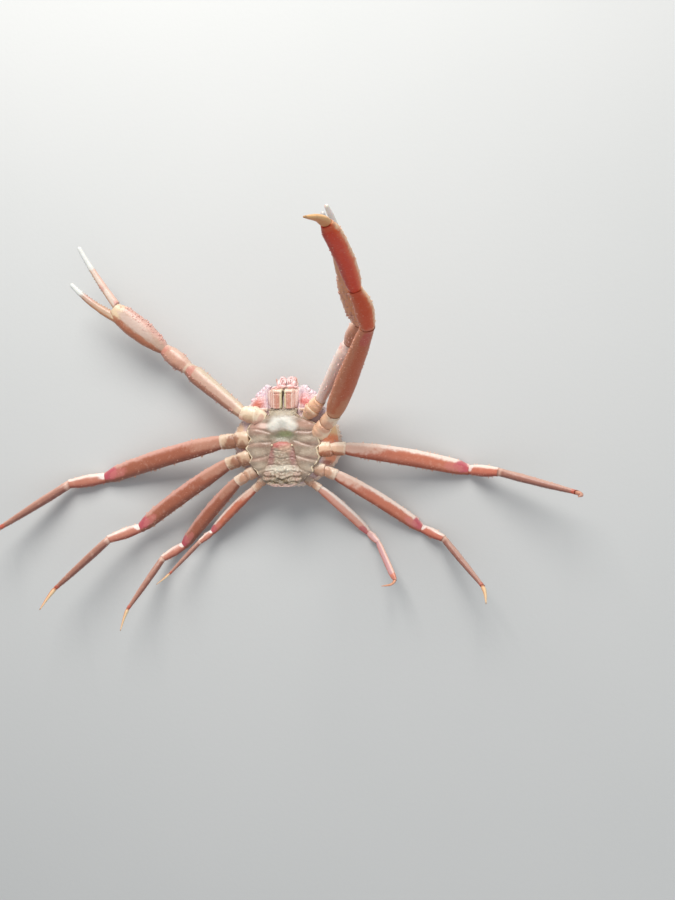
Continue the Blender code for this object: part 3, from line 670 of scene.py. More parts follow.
LEG_PAINTS = {
    "right": {
        "base": base_paint(((236, 214, 190), (206, 172, 142), (150, 104, 78)), (146, 90, 62)),
        "merus": dict(tones=((196, 128, 104), (166, 96, 70), (138, 76, 56)),
                      pale_lit_edge=((228, 180, 166), 0.6, PALE_LIT_EDGE_START),
                      patches=(*KNEE_PATCHES, (0.0, 0.35, 0.26, 0.95, (208, 160, 136), 0.45))),
        "carpus": dict(tones=((240, 214, 200), (192, 122, 100), (156, 76, 58)),
                       pale_lit_edge=((246, 228, 216), 0.7, PALE_LIT_EDGE_START), patches=SHIN_PATCHES),
        "propodus": dict(tones=((214, 166, 146), (166, 114, 96), (144, 80, 64)),
                         bands=((0.0, 0.05, (232, 196, 176), 0.6), (0.95, 1.0, RED, 0.85))),
        "dactyl": tip_paint(((242, 218, 178), (234, 194, 148), (212, 142, 100)), TIP_BANDS,
                            TIP_BACK),
    },
    "left": {
        "base": base_paint(((255, 240, 218), (230, 188, 156), (176, 112, 76)), (172, 100, 66),
                           LOW_STAIN),
        "merus": dict(tones=((226, 158, 132), (206, 118, 88), (164, 80, 54)),
                      pale_lit_edge=((252, 232, 218), 0.95, PALE_LIT_EDGE_START),
                      patches=(*KNEE_PATCHES, (0.0, 0.45, 0.30, 0.95, (246, 212, 190), 0.65))),
        "carpus": dict(tones=((246, 220, 204), (204, 118, 94), (158, 72, 54)),
                       pale_lit_edge=((250, 232, 220), 0.8, PALE_LIT_EDGE_START), patches=SHIN_PATCHES),
        "propodus": dict(tones=((196, 150, 132), (158, 106, 90), (136, 76, 62)),
                         bands=((0.0, 0.05, (226, 190, 170), 0.6), (0.95, 1.0, RED, 0.85)),
                         pale_lit_edge=((220, 184, 166), 0.35, PALE_LIT_EDGE_START)),
        "dactyl": tip_paint(((240, 206, 160), (228, 178, 130), (206, 132, 92)), TIP_BANDS,
                            TIP_BACK),
    },
    "raised": {
        "base": base_paint(((255, 240, 214), (246, 216, 186), (228, 182, 148)), (230, 172, 140)),
        "merus": dict(tones=((188, 98, 60), (190, 88, 46), (208, 128, 92)),
                      bands=((0.0, 0.07, (222, 176, 140), 0.5),), coat=0.03, streak=0.35,
                      spread=0.35, pale_lit_edge=((222, 160, 132), 0.5, 0.7),
                      patches=((0.93, 0.0, 0.07, 0.6, (196, 76, 72), 0.6),
                               (0.1, 0.3, 0.2, 0.6, (204, 140, 100), 0.6))),
        "carpus": dict(tones=((228, 118, 66), (208, 78, 36), (204, 100, 62)),
                       bands=((0.0, 0.06, (224, 166, 140), 0.4),), coat=0.03, streak=0.35,
                       pale_lit_edge=((255, 214, 172), 0.9, 0.55)),
        "propodus": dict(tones=((240, 112, 50), (214, 54, 6), (184, 34, 10)),
                         bands=((0.97, 1.0, (214, 110, 60), 0.6),), coat=0.02, streak=0.25,
                         spread=0.35, pale_lit_edge=((255, 216, 172), 0.95, 0.62)),
        "dactyl": tip_paint(((238, 184, 120), (228, 164, 98), (216, 140, 78)),
                            ((0.95, 1.0, (120, 80, 50), 0.6),), (206, 130, 72)),
    },
    "pale": {
        "base": base_paint(((244, 226, 204), (216, 184, 158), (188, 142, 114)), (190, 138, 108)),
        "merus": dict(tones=((246, 216, 200), (226, 164, 142), (206, 112, 86)),
                      pale_lit_edge=((250, 236, 224), 0.9, PALE_LIT_EDGE_START),
                      patches=((0.92, -0.3, 0.09, 0.7, WINE, 0.7),)),
        "carpus": dict(tones=((244, 206, 192), (222, 176, 172), (214, 130, 112)),
                       pale_lit_edge=((246, 214, 200), 0.7, PALE_LIT_EDGE_START), glow=0.1),
        "propodus": dict(tones=((238, 196, 180), (212, 160, 160), (216, 134, 116)),
                         bands=((0.86, 1.0, (224, 130, 98), 0.8),),
                         pale_lit_edge=((244, 200, 180), 0.8, PALE_LIT_EDGE_START), glow=0.1, spread=0.3),
        "dactyl": tip_paint(((240, 176, 140), (228, 146, 112), (212, 116, 88))),
    },
    # The tip that points at the viewer: darker, as painted shade
    "dusky": {"dactyl": tip_paint(((212, 152, 124), (196, 130, 104), (168, 96, 76)))},
}


def leg_finishes(kind):
    """A finish for each part of one kind of leg."""
    return {part: limb_finish("%s leg %s shell" % (kind, part), **paint)
            for part, paint in LEG_PAINTS[kind].items()}


LEG_FINISHES = {kind: leg_finishes(kind) for kind in LEG_PAINTS}
print("leg finishes:", sum(len(group) for group in LEG_FINISHES.values()))

# %% [markdown]
# ## Measures of the walking legs
#
# Eight walking legs leave the body, four a side, and the last pair is much
# shorter and thinner, as in all spider crabs of this family. Each leg is
# posed by headings and slopes taken from the photograph: five of each, and a
# slope left out is worked out so that the knee rests at floor level.

# %% Leg measures
LEG_WIDTH = {2: 1.0, 3: 0.88, 4: 0.74, 5: 0.52}
LEG_LENGTHS = {
    2: (0.033, 0.165, 0.045, 0.094, 0.040),
    3: (0.028, 0.138, 0.037, 0.082, 0.030),
    4: (0.025, 0.113, 0.028, 0.067, 0.025),
    5: (0.018, 0.077, 0.018, 0.048, 0.021),
}
# Start at the body in millimetres, then heading and slope of each part in degrees
LEG_POSE = {
    "left": {
        2: ((37, -3, 41), (47, 28), (50.6, 59.7), (102.6, 58.1), (105.6, 76.6), (-120.9, 69.9)),
        3: ((39, -19, 42), (2, -5), (-10, None), (-3, 36), (-14.5, 21), (-176, 69.5)),
        4: ((33, -38, 39), (-20, -5), (-33.5, None), (-21.5, 21.5), (-48, 26.5), (-90, 60)),
        5: ((23, -51, 35), (-36, -6), (-45.5, None), (-38.5, 31), (-61.5, 27), (179, 41.5)),
    },
    "right": {
        2: ((-39, -8, 42), (-175, -4), (-165, None), (-170, 8), (-145.5, 15.5), (-117.5, 46)),
        3: ((-38, -27, 42), (-163, -5), (-146.5, -9.5), (-159, 28.5), (-136.5, 9.5), (-96.5, 52)),
        4: ((-33, -42, 39), (-150, -5), (-134.5, None), (-146.5, 25), (-119, 25), (-96, 25.5)),
        5: ((-23, -51, 35), (-138, -6), (-137.5, -14), (-139.5, 21), (-130, 23), (-133, 58)),
    },
}
LEG_PARTS = ("base", "merus", "carpus", "propodus")
# Width at each joint, width in the middle of each part, and thickness as a share of the width
JOINT_WIDTHS = (0.0185, 0.0155, 0.0125, 0.0105)
TIP_WIDTH = 0.0012
PART_WIDTHS = (0.0185, 0.0215)
JOINT_THICK = (0.85, 0.78, 0.80, 0.80)
PART_THICK = (0.82, 0.62, 0.76)
# Carpus, propodus and ankle widths, of a leg seen edge on and of one turned broad side up
LOWER_WIDTHS = {False: (0.0150, 0.0102, 0.0052), True: (0.0162, 0.0149, 0.0076)}
# Width and thickness of a propodus add up to this
WIDTH_AND_THICKNESS = 0.0251
BROAD_SHOWN = (("left", 2), ("left", 5))
# A resting knee has its middle this share of its width above the floor
KNEE_WIDTH, KNEE_REST = 0.0125, 0.37
# How far a part bows sideways, as a share of its length
MERUS_BOW = 0.016
RAISED_BOW = {"carpus": 0.044, "propodus": 0.022}
# Share of the middle width at places along each part
LEG_SHAPES = {
    "base": ((0.22, 1.06), (0.4, 1.0), (0.48, 0.80), (0.56, 0.90), (0.82, 0.94)),
    "merus": ((0.05, 0.8), (0.25, 0.96), (0.55, 1.0), (0.82, 0.92), (0.94, 0.84)),
    "carpus": ((0.12, 0.86), (0.45, 1.0), (0.8, 0.84)),
    "propodus": ((0.1, 0.94), (0.3, 1.0), (0.65, 0.82), (0.92, 0.58)),
}
RAISED_MERUS = ((0.05, 0.92), (0.17, 1.02), (0.4, 1.06), (0.63, 0.94), (0.86, 0.76), (0.94, 0.68))
PADDLE_SHAPE = ((0.1, 0.86), (0.3, 0.94), (0.7, 0.94), (0.93, 0.86))


def full_profile(shape, ends, thick, mid, flat):
    """Places along a part with its full widths and depths there."""
    rows = [(0.0, ends[0], ends[0] * thick[0])]
    rows += [(place, mid * share, mid * share * flat) for place, share in shape]
    return rows + [(1.0, ends[1], ends[1] * thick[1])]


for number, lengths in LEG_LENGTHS.items():
    print("leg", number, "is", round(sum(lengths) / MM), "mm long")

# %% [markdown]
# ## The base of a limb
#
# Next to the body a limb has two very short parts, the first like a cup in
# which the second turns. Both are tubes cut from one profile, with a slanted
# joint between them, so that the outline stays that of one smooth base.

# %% Base of a limb
BASE_SPLIT, BASE_SLANT = 0.47, 0.28


def two_piece_base(basket, ends, planes, side, profile, seed):
    """The short base of a limb: a cup and the part that turns in it."""
    middle = ends[0] + (ends[1] - ends[0]) * BASE_SPLIT
    slant = unit(np.array(side, float)) * BASE_SLANT
    way = unit(unit(ends[1] - ends[0]) + slant)
    places, widths, depths = np.array(profile).T
    steps = np.linspace(0, 1, 9)
    halves = []
    for low, high in ((0.0, BASE_SPLIT), (BASE_SPLIT, 1.0)):
        at = low + (high - low) * steps
        halves.append(np.stack([steps, np.interp(at, places, widths),
                                np.interp(at, places, depths)], -1))
    cup = Tube((ends[0], middle), (planes[0], way), side, halves[0], span=(0, BASE_SPLIT),
               seed=seed)
    turned = Tube((middle, ends[1]), (way, planes[1]), side, halves[1], span=(0.5, 1),
                  seed=seed + 1)
    for tube in (cup, turned):
        tube.skin(basket, 34, 36)
    return cup, turned


print("the cup takes", BASE_SPLIT, "of the base")

# %% [markdown]
# ## The last part of a leg
#
# The dactyl is a horny claw with fine ribs along it. It bends a little
# after its joint and narrows evenly to a point. Its rings are laid one after
# another along a line that turns, because a straight tube could not bend.

# %% Last part of a leg
RIB_COUNT, RIB_DEPTH = 6, 0.035
DACTYL_SWELL, DACTYL_NECK, DACTYL_NECK_LENGTH = 0.12, 0.16, 0.0016


def curved_rings(start, before, after, side, widths, thick, length, rows=44, columns=24):
    """Rings of the last part of a leg, which bends and narrows to a point."""
    normal = unit(before + after)
    centre = start + normal * GAP / 2
    grid, guides = [], []
    turn = full_turn(columns)
    ribs = 1 + RIB_DEPTH * np.cos(RIB_COUNT * turn)
    for place in np.linspace(0, 1, rows):
        way = unit(normal + (after - normal) * min(place * 1.6, 1.0))
        if place:
            centre = centre + way * length / (rows - 1)
        across = unit(side - way * float(side @ way))
        up = np.cross(way, across)
        size = widths[0] + (widths[1] - widths[0]) * place ** 1.25
        size = size * (1 + DACTYL_SWELL * math.sin(math.pi * min(place * 3, 1)))
        size = size * (1 - DACTYL_NECK * bell(place * length, 0, DACTYL_NECK_LENGTH))
        deep = size / 2 * (thick + (1 - thick) * place)
        grid.append(oval(centre, across, up, turn, size / 2 * ribs, deep * ribs))
        guides.append(side_guides(place, turn, 1, sign_of(up[2])))
    grid = np.array(grid)
    grid[..., 2] = np.maximum(grid[..., 2], 0.0)
    return grid, np.array(guides)


print("ribs on a dactyl:", RIB_COUNT)

# %% [markdown]
# ## Finish and grains of a leg
#
# The long merus and the carpus carry rows of spines on both edges, and the
# last two parts are nearly smooth but for small grains. The rear legs have
# pale bases, the last left leg is pale throughout, and the tip of the third
# left leg is painted darker as shade, because it points at the viewer.

# %% Finish and grains of a leg
EDGES = (0, math.pi)
FACES = (0.8, 1.57, 2.3, 3.9, 4.71, 5.5)
GRAIN_STEP, SPINE_STEP = 0.0011, 0.0042
RAISED_SLOPE = 0.3


def finishes_for(side_name, number, raised):
    """The finishes of one leg."""
    if (side_name, number) == ("left", 5):
        return LEG_FINISHES["pale"]
    finishes = dict(LEG_FINISHES["raised" if raised else side_name])
    if number > 3:
        finishes["base"] = LEG_FINISHES["pale"]["base"]
    if number == 5:
        finishes["merus"] = LEG_FINISHES["left"]["merus"]
    if (side_name, number) == ("left", 3):
        finishes["dactyl"] = LEG_FINISHES["dusky"]["dactyl"]
    return finishes


def base_grains(tube, basket, dice):
    """Grains on the two edges of a base part and all round its rim."""
    tube.grains(basket, dice, 30, EDGES, 0.5, 0.0009, 0.0004, (0.2, 0.95), 0.3)
    tube.grains(basket, dice, 26, np.linspace(0, 6.28, 27), 0.1, 0.0010, 0.0004, (0.88, 0.97), 0.3)


def leg_grains(tube, basket, dice, part, length, size, tall):
    """Spines on the two edges of a part, and small grains on its edges and faces."""
    count = int(length / GRAIN_STEP)
    if part != "propodus":
        tube.grains(basket, dice, int(length / SPINE_STEP), EDGES, 0.10, 0.0016 * size, tall,
                    (0.08, 0.93), 0.95)
    tube.grains(basket, dice, count, EDGES, 0.42, 0.0009 * size, 0.0006 * size)
    tube.grains(basket, dice, count, FACES, 0.3, 0.0006 * size, 0.00028 * size)


def shape_of(part, raised, turned):
    """Widths along one part of a leg."""
    if part == "merus" and raised:
        return RAISED_MERUS
    return PADDLE_SHAPE if part == "propodus" and turned else LEG_SHAPES[part]


print("a grain every", GRAIN_STEP / MM, "mm and a spine every", SPINE_STEP / MM, "mm")

# %% [markdown]
# ## The walking legs
#
# Each part of a leg is one tube with its grains, in a loop over the eight
# legs. Two legs are shown broad side up, which makes their lower parts look
# wider, as in the photograph. The raised leg has a bow in its lower parts.

# %% Walking legs


def walking_leg(side_name, number):
    """Build the five pieces of one walking leg."""
    start, *poses = LEG_POSE[side_name][number]
    size = LEG_WIDTH[number]
    lengths = LEG_LENGTHS[number]
    points, ways, planes = chain(start, poses, lengths, KNEE_REST * KNEE_WIDTH * size)
    raised = ways[1][2] > RAISED_SLOPE
    side = np.array((1.0, 0.25, -0.2)) if raised else np.array((-ways[1][1], ways[1][0], 0.0))
    finishes = finishes_for(side_name, number, raised)
    turned = (side_name, number) in BROAD_SHOWN
    wrist, shin, ankle = LOWER_WIDTHS[turned]
    shin_flat = WIDTH_AND_THICKNESS / shin - 1.0
    joints = np.array((*JOINT_WIDTHS, ankle)) * size
    thick = (*JOINT_THICK, shin_flat)
    mids = (*PART_WIDTHS, wrist, shin)
    flats = (*PART_THICK, shin_flat)
    seed = number * 10 + (side_name == "left")
    dice = np.random.default_rng(seed)
    leg = "leg_%d_%s_" % (number, side_name)
    bows = RAISED_BOW if raised else {"merus": MERUS_BOW * sign_of(side[1])}
    tall = 0.0009 if raised else 0.0019 * (0.5 + 0.5 * size)
    for k, part in enumerate(LEG_PARTS):
        basket = Basket("shell_" + leg + part)
        profile = full_profile(shape_of(part, raised, turned), joints[k:k + 2], thick[k:k + 2],
                               mids[k] * size, flats[k])
        ends, faces = points[k:k + 2], planes[k:k + 2]
        if part == "base":
            for tube in two_piece_base(basket, ends, faces, side, profile, seed):
                base_grains(tube, basket, dice)
        else:
            bow = unit(side) * bows.get(part, 0.0) * lengths[k]
            tube = Tube(ends, faces, side, profile, bow, seed=seed + k)
            tube.skin(basket, 84 if part == "merus" else 52, 36)
            leg_grains(tube, basket, dice, part, lengths[k], size, tall)
        basket.make(finishes[part], [leg + part])
    basket = Basket("shell_" + leg + "dactyl")
    basket.sheet(*curved_rings(points[4], ways[3], ways[4], side, (joints[4], TIP_WIDTH * size),
                               shin_flat, lengths[4]))
    basket.make(finishes["dactyl"], [leg + "dactyl"])


for side_name in ("left", "right"):
    for number in LEG_WIDTH:
        walking_leg(side_name, number)
print("leg pieces:", len(TALLY), "faces so far:", sum(TALLY))

# %% [markdown]
# ## Colours of the claws
#
# The right claw is cream pink with a brown lower edge, and the left one is
# tan against the light. Both have hard white finger tips. The tables hold
# only what differs from part to part, and what all claw parts share is
# given once.

# %% Claw colours
TIP_WHITE, TIP_CREAM = (224, 226, 220), (255, 244, 236)
BLOTCH = (222, 136, 124)
CLAW_COMMON = dict(back=(200, 150, 122), grain=(228, 172, 158), rough=0.36, coat=0.3, glow=0.06,
                   streak=0.45, spread=0.6)


def finger_paint(tones, white_from):
    """A finger: cream and pink, with uneven blotches and a hard white tip."""
    spots = [(0.5 * k * white_from, (-1) ** k * 0.4, 0.06, 0.5, BLOTCH, 0.5) for k in range(2)]
    return dict(tones=tones, bands=((white_from, 1.2, TIP_WHITE, 0.95),), patches=spots)


CLAW_PAINTS = {
    "right": {
        "base": dict(tones=((232, 212, 182), (234, 210, 180), (240, 188, 162)),
                     back=(190, 140, 112), bands=((0.43, 0.50, (232, 214, 188), 0.5),),
                     pale_lit_edge=((246, 232, 206), 0.7, PALE_LIT_EDGE_START),
                     patches=((0.70, -0.5, 0.2, 0.6, (178, 140, 98), 0.5),
                              (0.15, -0.3, 0.12, 0.8, (212, 156, 138), 0.6))),
        "merus": dict(tones=((206, 182, 162), (196, 158, 138), (156, 98, 74)), back=(168, 106, 80),
                      bands=((0.0, 0.10, (216, 190, 160), 0.6),),
                      pale_lit_edge=((206, 190, 164), 0.6, PALE_LIT_EDGE_START),
                      patches=((0.93, 0.2, 0.06, 0.8, (196, 112, 100), 0.6),
                               (0.5, -0.6, 0.6, 0.35, (150, 88, 62), 0.6))),
        "carpus": dict(tones=((206, 164, 146), (196, 148, 126), (164, 100, 76)),
                       back=(168, 106, 80), bands=((0.0, 0.08, (226, 202, 178), 0.7),),
                       pale_lit_edge=((222, 196, 176), 0.5, PALE_LIT_EDGE_START),
                       patches=((0.92, 0.0, 0.08, 0.9, (196, 116, 100), 0.5),)),
        "palm": dict(tones=((202, 158, 138), (190, 158, 138), (168, 106, 76)), back=(176, 114, 84),
                     bands=((0.46, 0.58, (236, 210, 170), 0.7), (0.58, 0.76, (202, 168, 138), 0.6),
                            (0.86, 1.2, TIP_WHITE, 0.95)),
                     pale_lit_edge=((214, 170, 158), 0.6, PALE_LIT_EDGE_START),
                     patches=((0.28, -0.66, 0.34, 0.42, (176, 104, 70), 0.85),
                              # Pale patch in the middle of the palm: a painted highlight
                              (0.30, 0.12, 0.2, 0.34, (208, 182, 168), 0.8),
                              (0.68, -0.7, 0.14, 0.4, (206, 136, 90), 0.6))),
        "finger": finger_paint(((228, 186, 168), (226, 206, 190), (212, 166, 134)), 0.62),
    },
    "left": {
        "base": dict(tones=((255, 242, 216), (244, 212, 178), (222, 172, 134)),
                     back=(200, 150, 118), pale_lit_edge=((246, 230, 200), 0.7, PALE_LIT_EDGE_START),
                     bands=((0.0, 0.08, (240, 222, 196), 0.7), (0.43, 0.52, (242, 224, 194), 0.7))),
        "merus": dict(tones=((255, 244, 240), (252, 234, 226), (250, 220, 206)), glow=0.3,
                      patches=((0.93, 0.0, 0.06, 0.9, (214, 130, 110), 0.5),)),
        "carpus": dict(tones=((230, 200, 186), (226, 184, 160), (206, 140, 108))),
        "palm": dict(tones=((244, 210, 180), (240, 184, 146), (236, 168, 126)),
                     back=(226, 154, 114), bands=((0.80, 1.2, TIP_CREAM, 0.95),), glow=0.35),
        "finger": finger_paint(((240, 206, 180), (234, 178, 140), (228, 160, 120)), 0.60),
    },
}
CLAW_FINISHES = {
    kind: {part: limb_finish("%s claw %s shell" % (kind, part), **{**CLAW_COMMON, **paint})
           for part, paint in parts.items()}
    for kind, parts in CLAW_PAINTS.items()
}
print("claw finishes:", sum(len(group) for group in CLAW_FINISHES.values()))

# %% [markdown]
# ## One long finger
#
# A snow crab's fingers are long and slender and curve towards each other,
# with a fine groove along each side and a row of blunt teeth on the inner
# edge. The rings are laid along a line that bends as it goes, and the teeth
# are large flat grains set where each ring faces the other finger.

# %% Fingers
FINGER_ROWS, FINGER_COLUMNS = 64, 30
TOOTH_FROM, TOOTH_TO, TOOTH_EVERY = 0.25, 0.90, 3
SIDE_GROOVE, GROOVE_SPREAD = 0.07, 0.006


def finger_width(place, widths, partner):
    """Full width of a finger: it tapers, waves a little, and ends round."""
    wide = widths[0] + (widths[1] - widths[0]) * place ** 0.8
    wide = wide * min(1.0, 0.30 + 4.2 * math.sqrt(max(1 - place, 0)))
    return wide * (1 + 0.025 * math.sin(place * 23 + partner) + 0.02 * math.sin(place * 41))


def finger(basket, dice, root, way, across, angle, length, partner, span, widths, curl):
    """One long finger with teeth on its inner edge and grooves on its sides."""
    turn = full_turn(FINGER_COLUMNS)
    groove = 1 - SIDE_GROOVE * np.exp(-(np.abs(np.sin(turn)) - 1) ** 2 / GROOVE_SPREAD)
    centre = np.array(root, float)
    grid, guides, inner = [], [], []
    for place in np.linspace(0, 1, FINGER_ROWS):
        bend = angle + math.radians(curl[0] + (curl[1] - curl[0]) * place) * partner
        aim = way * math.cos(bend) + across * math.sin(bend)
        normal = unit(way + (aim - way) * min(place * 3, 1))
        if place:
            centre = centre + aim * length / (FINGER_ROWS - 1)
        flat = unit(across - normal * float(across @ normal))
        up = np.cross(normal, flat)
        wide = finger_width(place, widths, partner)
        grid.append(oval(centre, flat, up, turn, wide / 2, groove * wide * 0.46))
        along = span[0] + (span[1] - span[0]) * place
        guides.append(side_guides(along, turn, sign_of(flat[1]), sign_of(up[2])))
        inner.append((*(centre - flat * partner * wide * 0.47), *(-flat * partner), wide, along))
    basket.sheet(np.array(grid), np.array(guides))
    chosen = slice(int(FINGER_ROWS * TOOTH_FROM), int(FINGER_ROWS * TOOTH_TO), TOOTH_EVERY)
    inner = np.array(inner)[chosen]
    sizes = inner[:, 6] * dice.uniform(0.22, 0.36, len(inner))
    tooth_guides = inner[:, 7:] * (1.0, 0.0, 0.0) + (0.0, 0.0, 1.0)
    stand_grains(basket, inner[:, :3], inner[:, 3:6], np.clip(sizes, 0.0011, 0.0026),
                 np.clip(sizes * 0.55, 0.0006, 0.0012), 0.4, 0.0, tooth_guides)


print("rings in a finger:", FINGER_ROWS)

# %% [markdown]
# ## Measures of the claws
#
# The two claw arms start beside the mouth. The right one is held low with
# its fingers open, and the left one stands up behind the first walking leg,
# nearly closed. Lengths and widths are metres, as for the legs.

# %% Claw measures
CLAW_LENGTHS = (0.027, 0.085, 0.038, 0.073)
CLAW_POSE = {
    "left": ((24, 16, 44), (44.9, 19.3), (52.3, 40.3), (41.5, 59.3), (100.0, 61.7)),
    "right": ((-20, 15, 45), (167, 3), (143, -10), (142, -3), (141, 9)),
}
CLAW_OPENING = {"left": 1.2, "right": 24.0}
FINGER_LENGTHS = {"left": (0.078, 0.064), "right": (0.071, 0.0775)}
# Which way the broad side of the raised arm faces
CLAW_TWIST = (0.2, 0.55, -0.6)
CLAW_JOINTS = (0.0110, 0.0140, 0.0140, 0.0130)
CLAW_MIDS = (0.0205, 0.0200, 0.0200)
CLAW_FLATS = (0.85, 0.80, 0.82)
CLAW_SHAPES = (((0.2, 0.8), (0.42, 1.0), (0.47, 0.98), (0.56, 0.9), (0.7, 0.94), (0.88, 0.82)),
               ((0.06, 0.72), (0.3, 0.84), (0.6, 0.95), (0.85, 1.0), (0.95, 0.86)),
               ((0.12, 0.8), (0.4, 1.0), (0.75, 0.95), (0.92, 0.78)))
PALM_WIDTH, PALM_DEPTH = 0.0270, 0.0170
PALM_ROOT = (0.0, 0.0130, 0.0110)
PALM_SHAPE = ((0.1, 0.66, 0.78), (0.35, 0.93, 1.0), (0.62, 1.0, 1.0), (0.84, 0.90, 0.86),
              (0.93, 0.78, 0.74), (1.0, 0.56, 0.56))
FINGER_ROOTS = (0.0128, 0.0104)
FINGER_TIP = {"left": 0.0036, "right": 0.0048}
FINGER_CURL = ((11.0, -14.0), (-4.0, 3.0))
# How the opening angle is shared out between the fixed and the movable finger
FIXED_SHARE, MOVING_SHARE = 0.18, 0.82
print("a claw arm is", round(sum(CLAW_LENGTHS) / MM), "mm long without its fingers")

# %% [markdown]
# ## The claws
#
# Base, merus and carpus are tubes like those of the legs. The palm is one
# piece with its fixed finger and has rows of pink tubercles on its outer
# margin. The movable finger is a piece of its own, as in the real claw.

# %% Claws


def arm_part(side_name, k, part, ends, faces, side, dice):
    """Base, merus or carpus of a claw arm."""
    raised = side_name == "left"
    basket = Basket("shell_claw_%s_%s" % (side_name, part))
    profile = full_profile(CLAW_SHAPES[k], CLAW_JOINTS[k:k + 2], (0.85, 0.85), CLAW_MIDS[k],
                           CLAW_FLATS[k])
    if part == "base":
        for tube in two_piece_base(basket, ends, faces, side, profile, 70 + raised):
            tube.grains(basket, dice, 50, EDGES, 0.6, 0.0010, 0.0004, (0.15, 0.95), 0.3)
    else:
        tube = Tube(ends, faces, side, profile, seed=80 + k)
        tube.skin(basket, 64, 40)
        tube.grains(basket, dice, int(CLAW_LENGTHS[k] / 0.0030), (0, 1.2, math.pi), 0.12, 0.0017,
                    0.0019, (0.1, 0.93), 0.95)
        tube.grains(basket, dice, 110, np.linspace(0, 6.28, 9), 0.4, 0.0009, 0.0004)
    basket.make(CLAW_FINISHES[side_name][part], ["claw_%s_%s" % (side_name, part)])


def hand(side_name, root, plane, way, side, dice):
    """The palm with its fixed finger, and the movable finger."""
    across = unit(side - way * float(side @ way))
    hinge = root + way * CLAW_LENGTHS[3]
    opening = math.radians(CLAW_OPENING[side_name])
    fixed_length, moving_length = FINGER_LENGTHS[side_name]
    tip = FINGER_TIP[side_name]
    name, finishes = "claw_%s_" % side_name, CLAW_FINISHES[side_name]
    profile = [PALM_ROOT] + [(at, PALM_WIDTH * w, PALM_DEPTH * d) for at, w, d in PALM_SHAPE]
    basket = Basket("shell_" + name + "palm")
    palm = Tube((root, hinge), (plane, way), side, profile, span=(0, 0.55), seed=95)
    palm.skin(basket, 72, 44)
    palm.grains(basket, dice, 30, (2.6, math.pi, 3.7), 0.07, 0.0022, 0.0013, (0.08, 0.90), 0.35)
    palm.grains(basket, dice, 120, (2.4, math.pi, 3.9), 0.3, 0.0013, 0.0005, sharp=0.3)
    palm.grains(basket, dice, 150, np.linspace(0, 6.28, 11), 0.3, 0.0008, 0.00035)
    finger(basket, dice, hinge + across * PALM_WIDTH * 0.17 - way * 0.014, way, across,
           opening * FIXED_SHARE, fixed_length, 1.0, (0.5, 1.0), (FINGER_ROOTS[0], tip),
           FINGER_CURL[0])
    basket.make(finishes["palm"], [name + "palm"])
    basket = Basket("shell_" + name + "finger")
    finger(basket, dice, hinge - across * PALM_WIDTH * 0.19 + way * GAP, way, across,
           -opening * MOVING_SHARE, moving_length, -1.0, (0.0, 1.0), (FINGER_ROOTS[1], tip),
           FINGER_CURL[1])
    basket.make(finishes["finger"], [name + "finger"])


def claw_arm(side_name):
    """Build the five pieces of one claw arm."""
    start, *poses = CLAW_POSE[side_name]
    points, ways, planes = chain(start, poses, CLAW_LENGTHS)
    raised = ways[1][2] > RAISED_SLOPE
    side = np.array(CLAW_TWIST if raised else (-ways[1][1], ways[1][0], 0.0))
    dice = np.random.default_rng(90 + raised)
    for k, part in enumerate(("base", "merus", "carpus")):
        arm_part(side_name, k, part, points[k:k + 2], planes[k:k + 2], side, dice)
    hand(side_name, points[3], planes[3], ways[3], side, dice)


for side_name in ("left", "right"):
    claw_arm(side_name)
print("pieces with the claws:", len(TALLY))

# %% [markdown]
# ## The bowl of the back shell
#
# The carapace is a rounded shield, a little broader than long, flat where it
# rests. Its outline comes from a few widths along its length, run through a
# smoothing step so that no corner shows. Level rings of that outline make
# the bowl, and its margin is scalloped by a wave along the outline.

# %% Back shell
HALF_WIDTHS = ((-60, 16), (-58, 22), (-52, 36), (-42, 50), (-28, 59.5), (-12, 62), (4, 59),
               (18, 50.5), (30, 39), (40, 28), (47, 19), (52, 10))
# Share of the outline and height of the rings, from the floor up
LEVELS = ((0.36, 0.0), (0.55, 1.4), (0.72, 5.0), (0.86, 11.0), (0.955, 18.5), (1.0, 26.5),
          (0.985, 30.0), (0.91, 35.0), (0.82, 40.0), (0.74, 43.0))
SHELL_MIDDLE = -6.0
SHELL_ROWS, SHELL_COLUMNS = 72, 220


def smooth_loop(points, count, passes):
    """A closed line of evenly spaced points with soft corners."""
    closed = np.vstack([points, points[:1]])
    walked = np.concatenate([[0], np.cumsum(np.linalg.norm(np.diff(closed, axis=0), axis=1))])
    even = np.linspace(0, walked[-1], count, endpoint=False)
    loop = np.stack([np.interp(even, walked, closed[:, k]) for k in range(2)], -1)
    for _ in range(passes):
        loop = loop * 0.5 + np.roll(loop, 1, axis=0) * 0.25 + np.roll(loop, -1, axis=0) * 0.25
    return loop


one_half = np.array([(w, y) for y, w in HALF_WIDTHS], float)
OUTLINE = smooth_loop(np.vstack([one_half, one_half[::-1] * (-1, 1)]), SHELL_COLUMNS, 14)
level_steps = np.linspace(0, 1, SHELL_ROWS)
level_scale, level_height = (
    Tube.soften(np.interp(level_steps, np.linspace(0, 1, len(LEVELS)), column))
    for column in np.array(LEVELS).T)


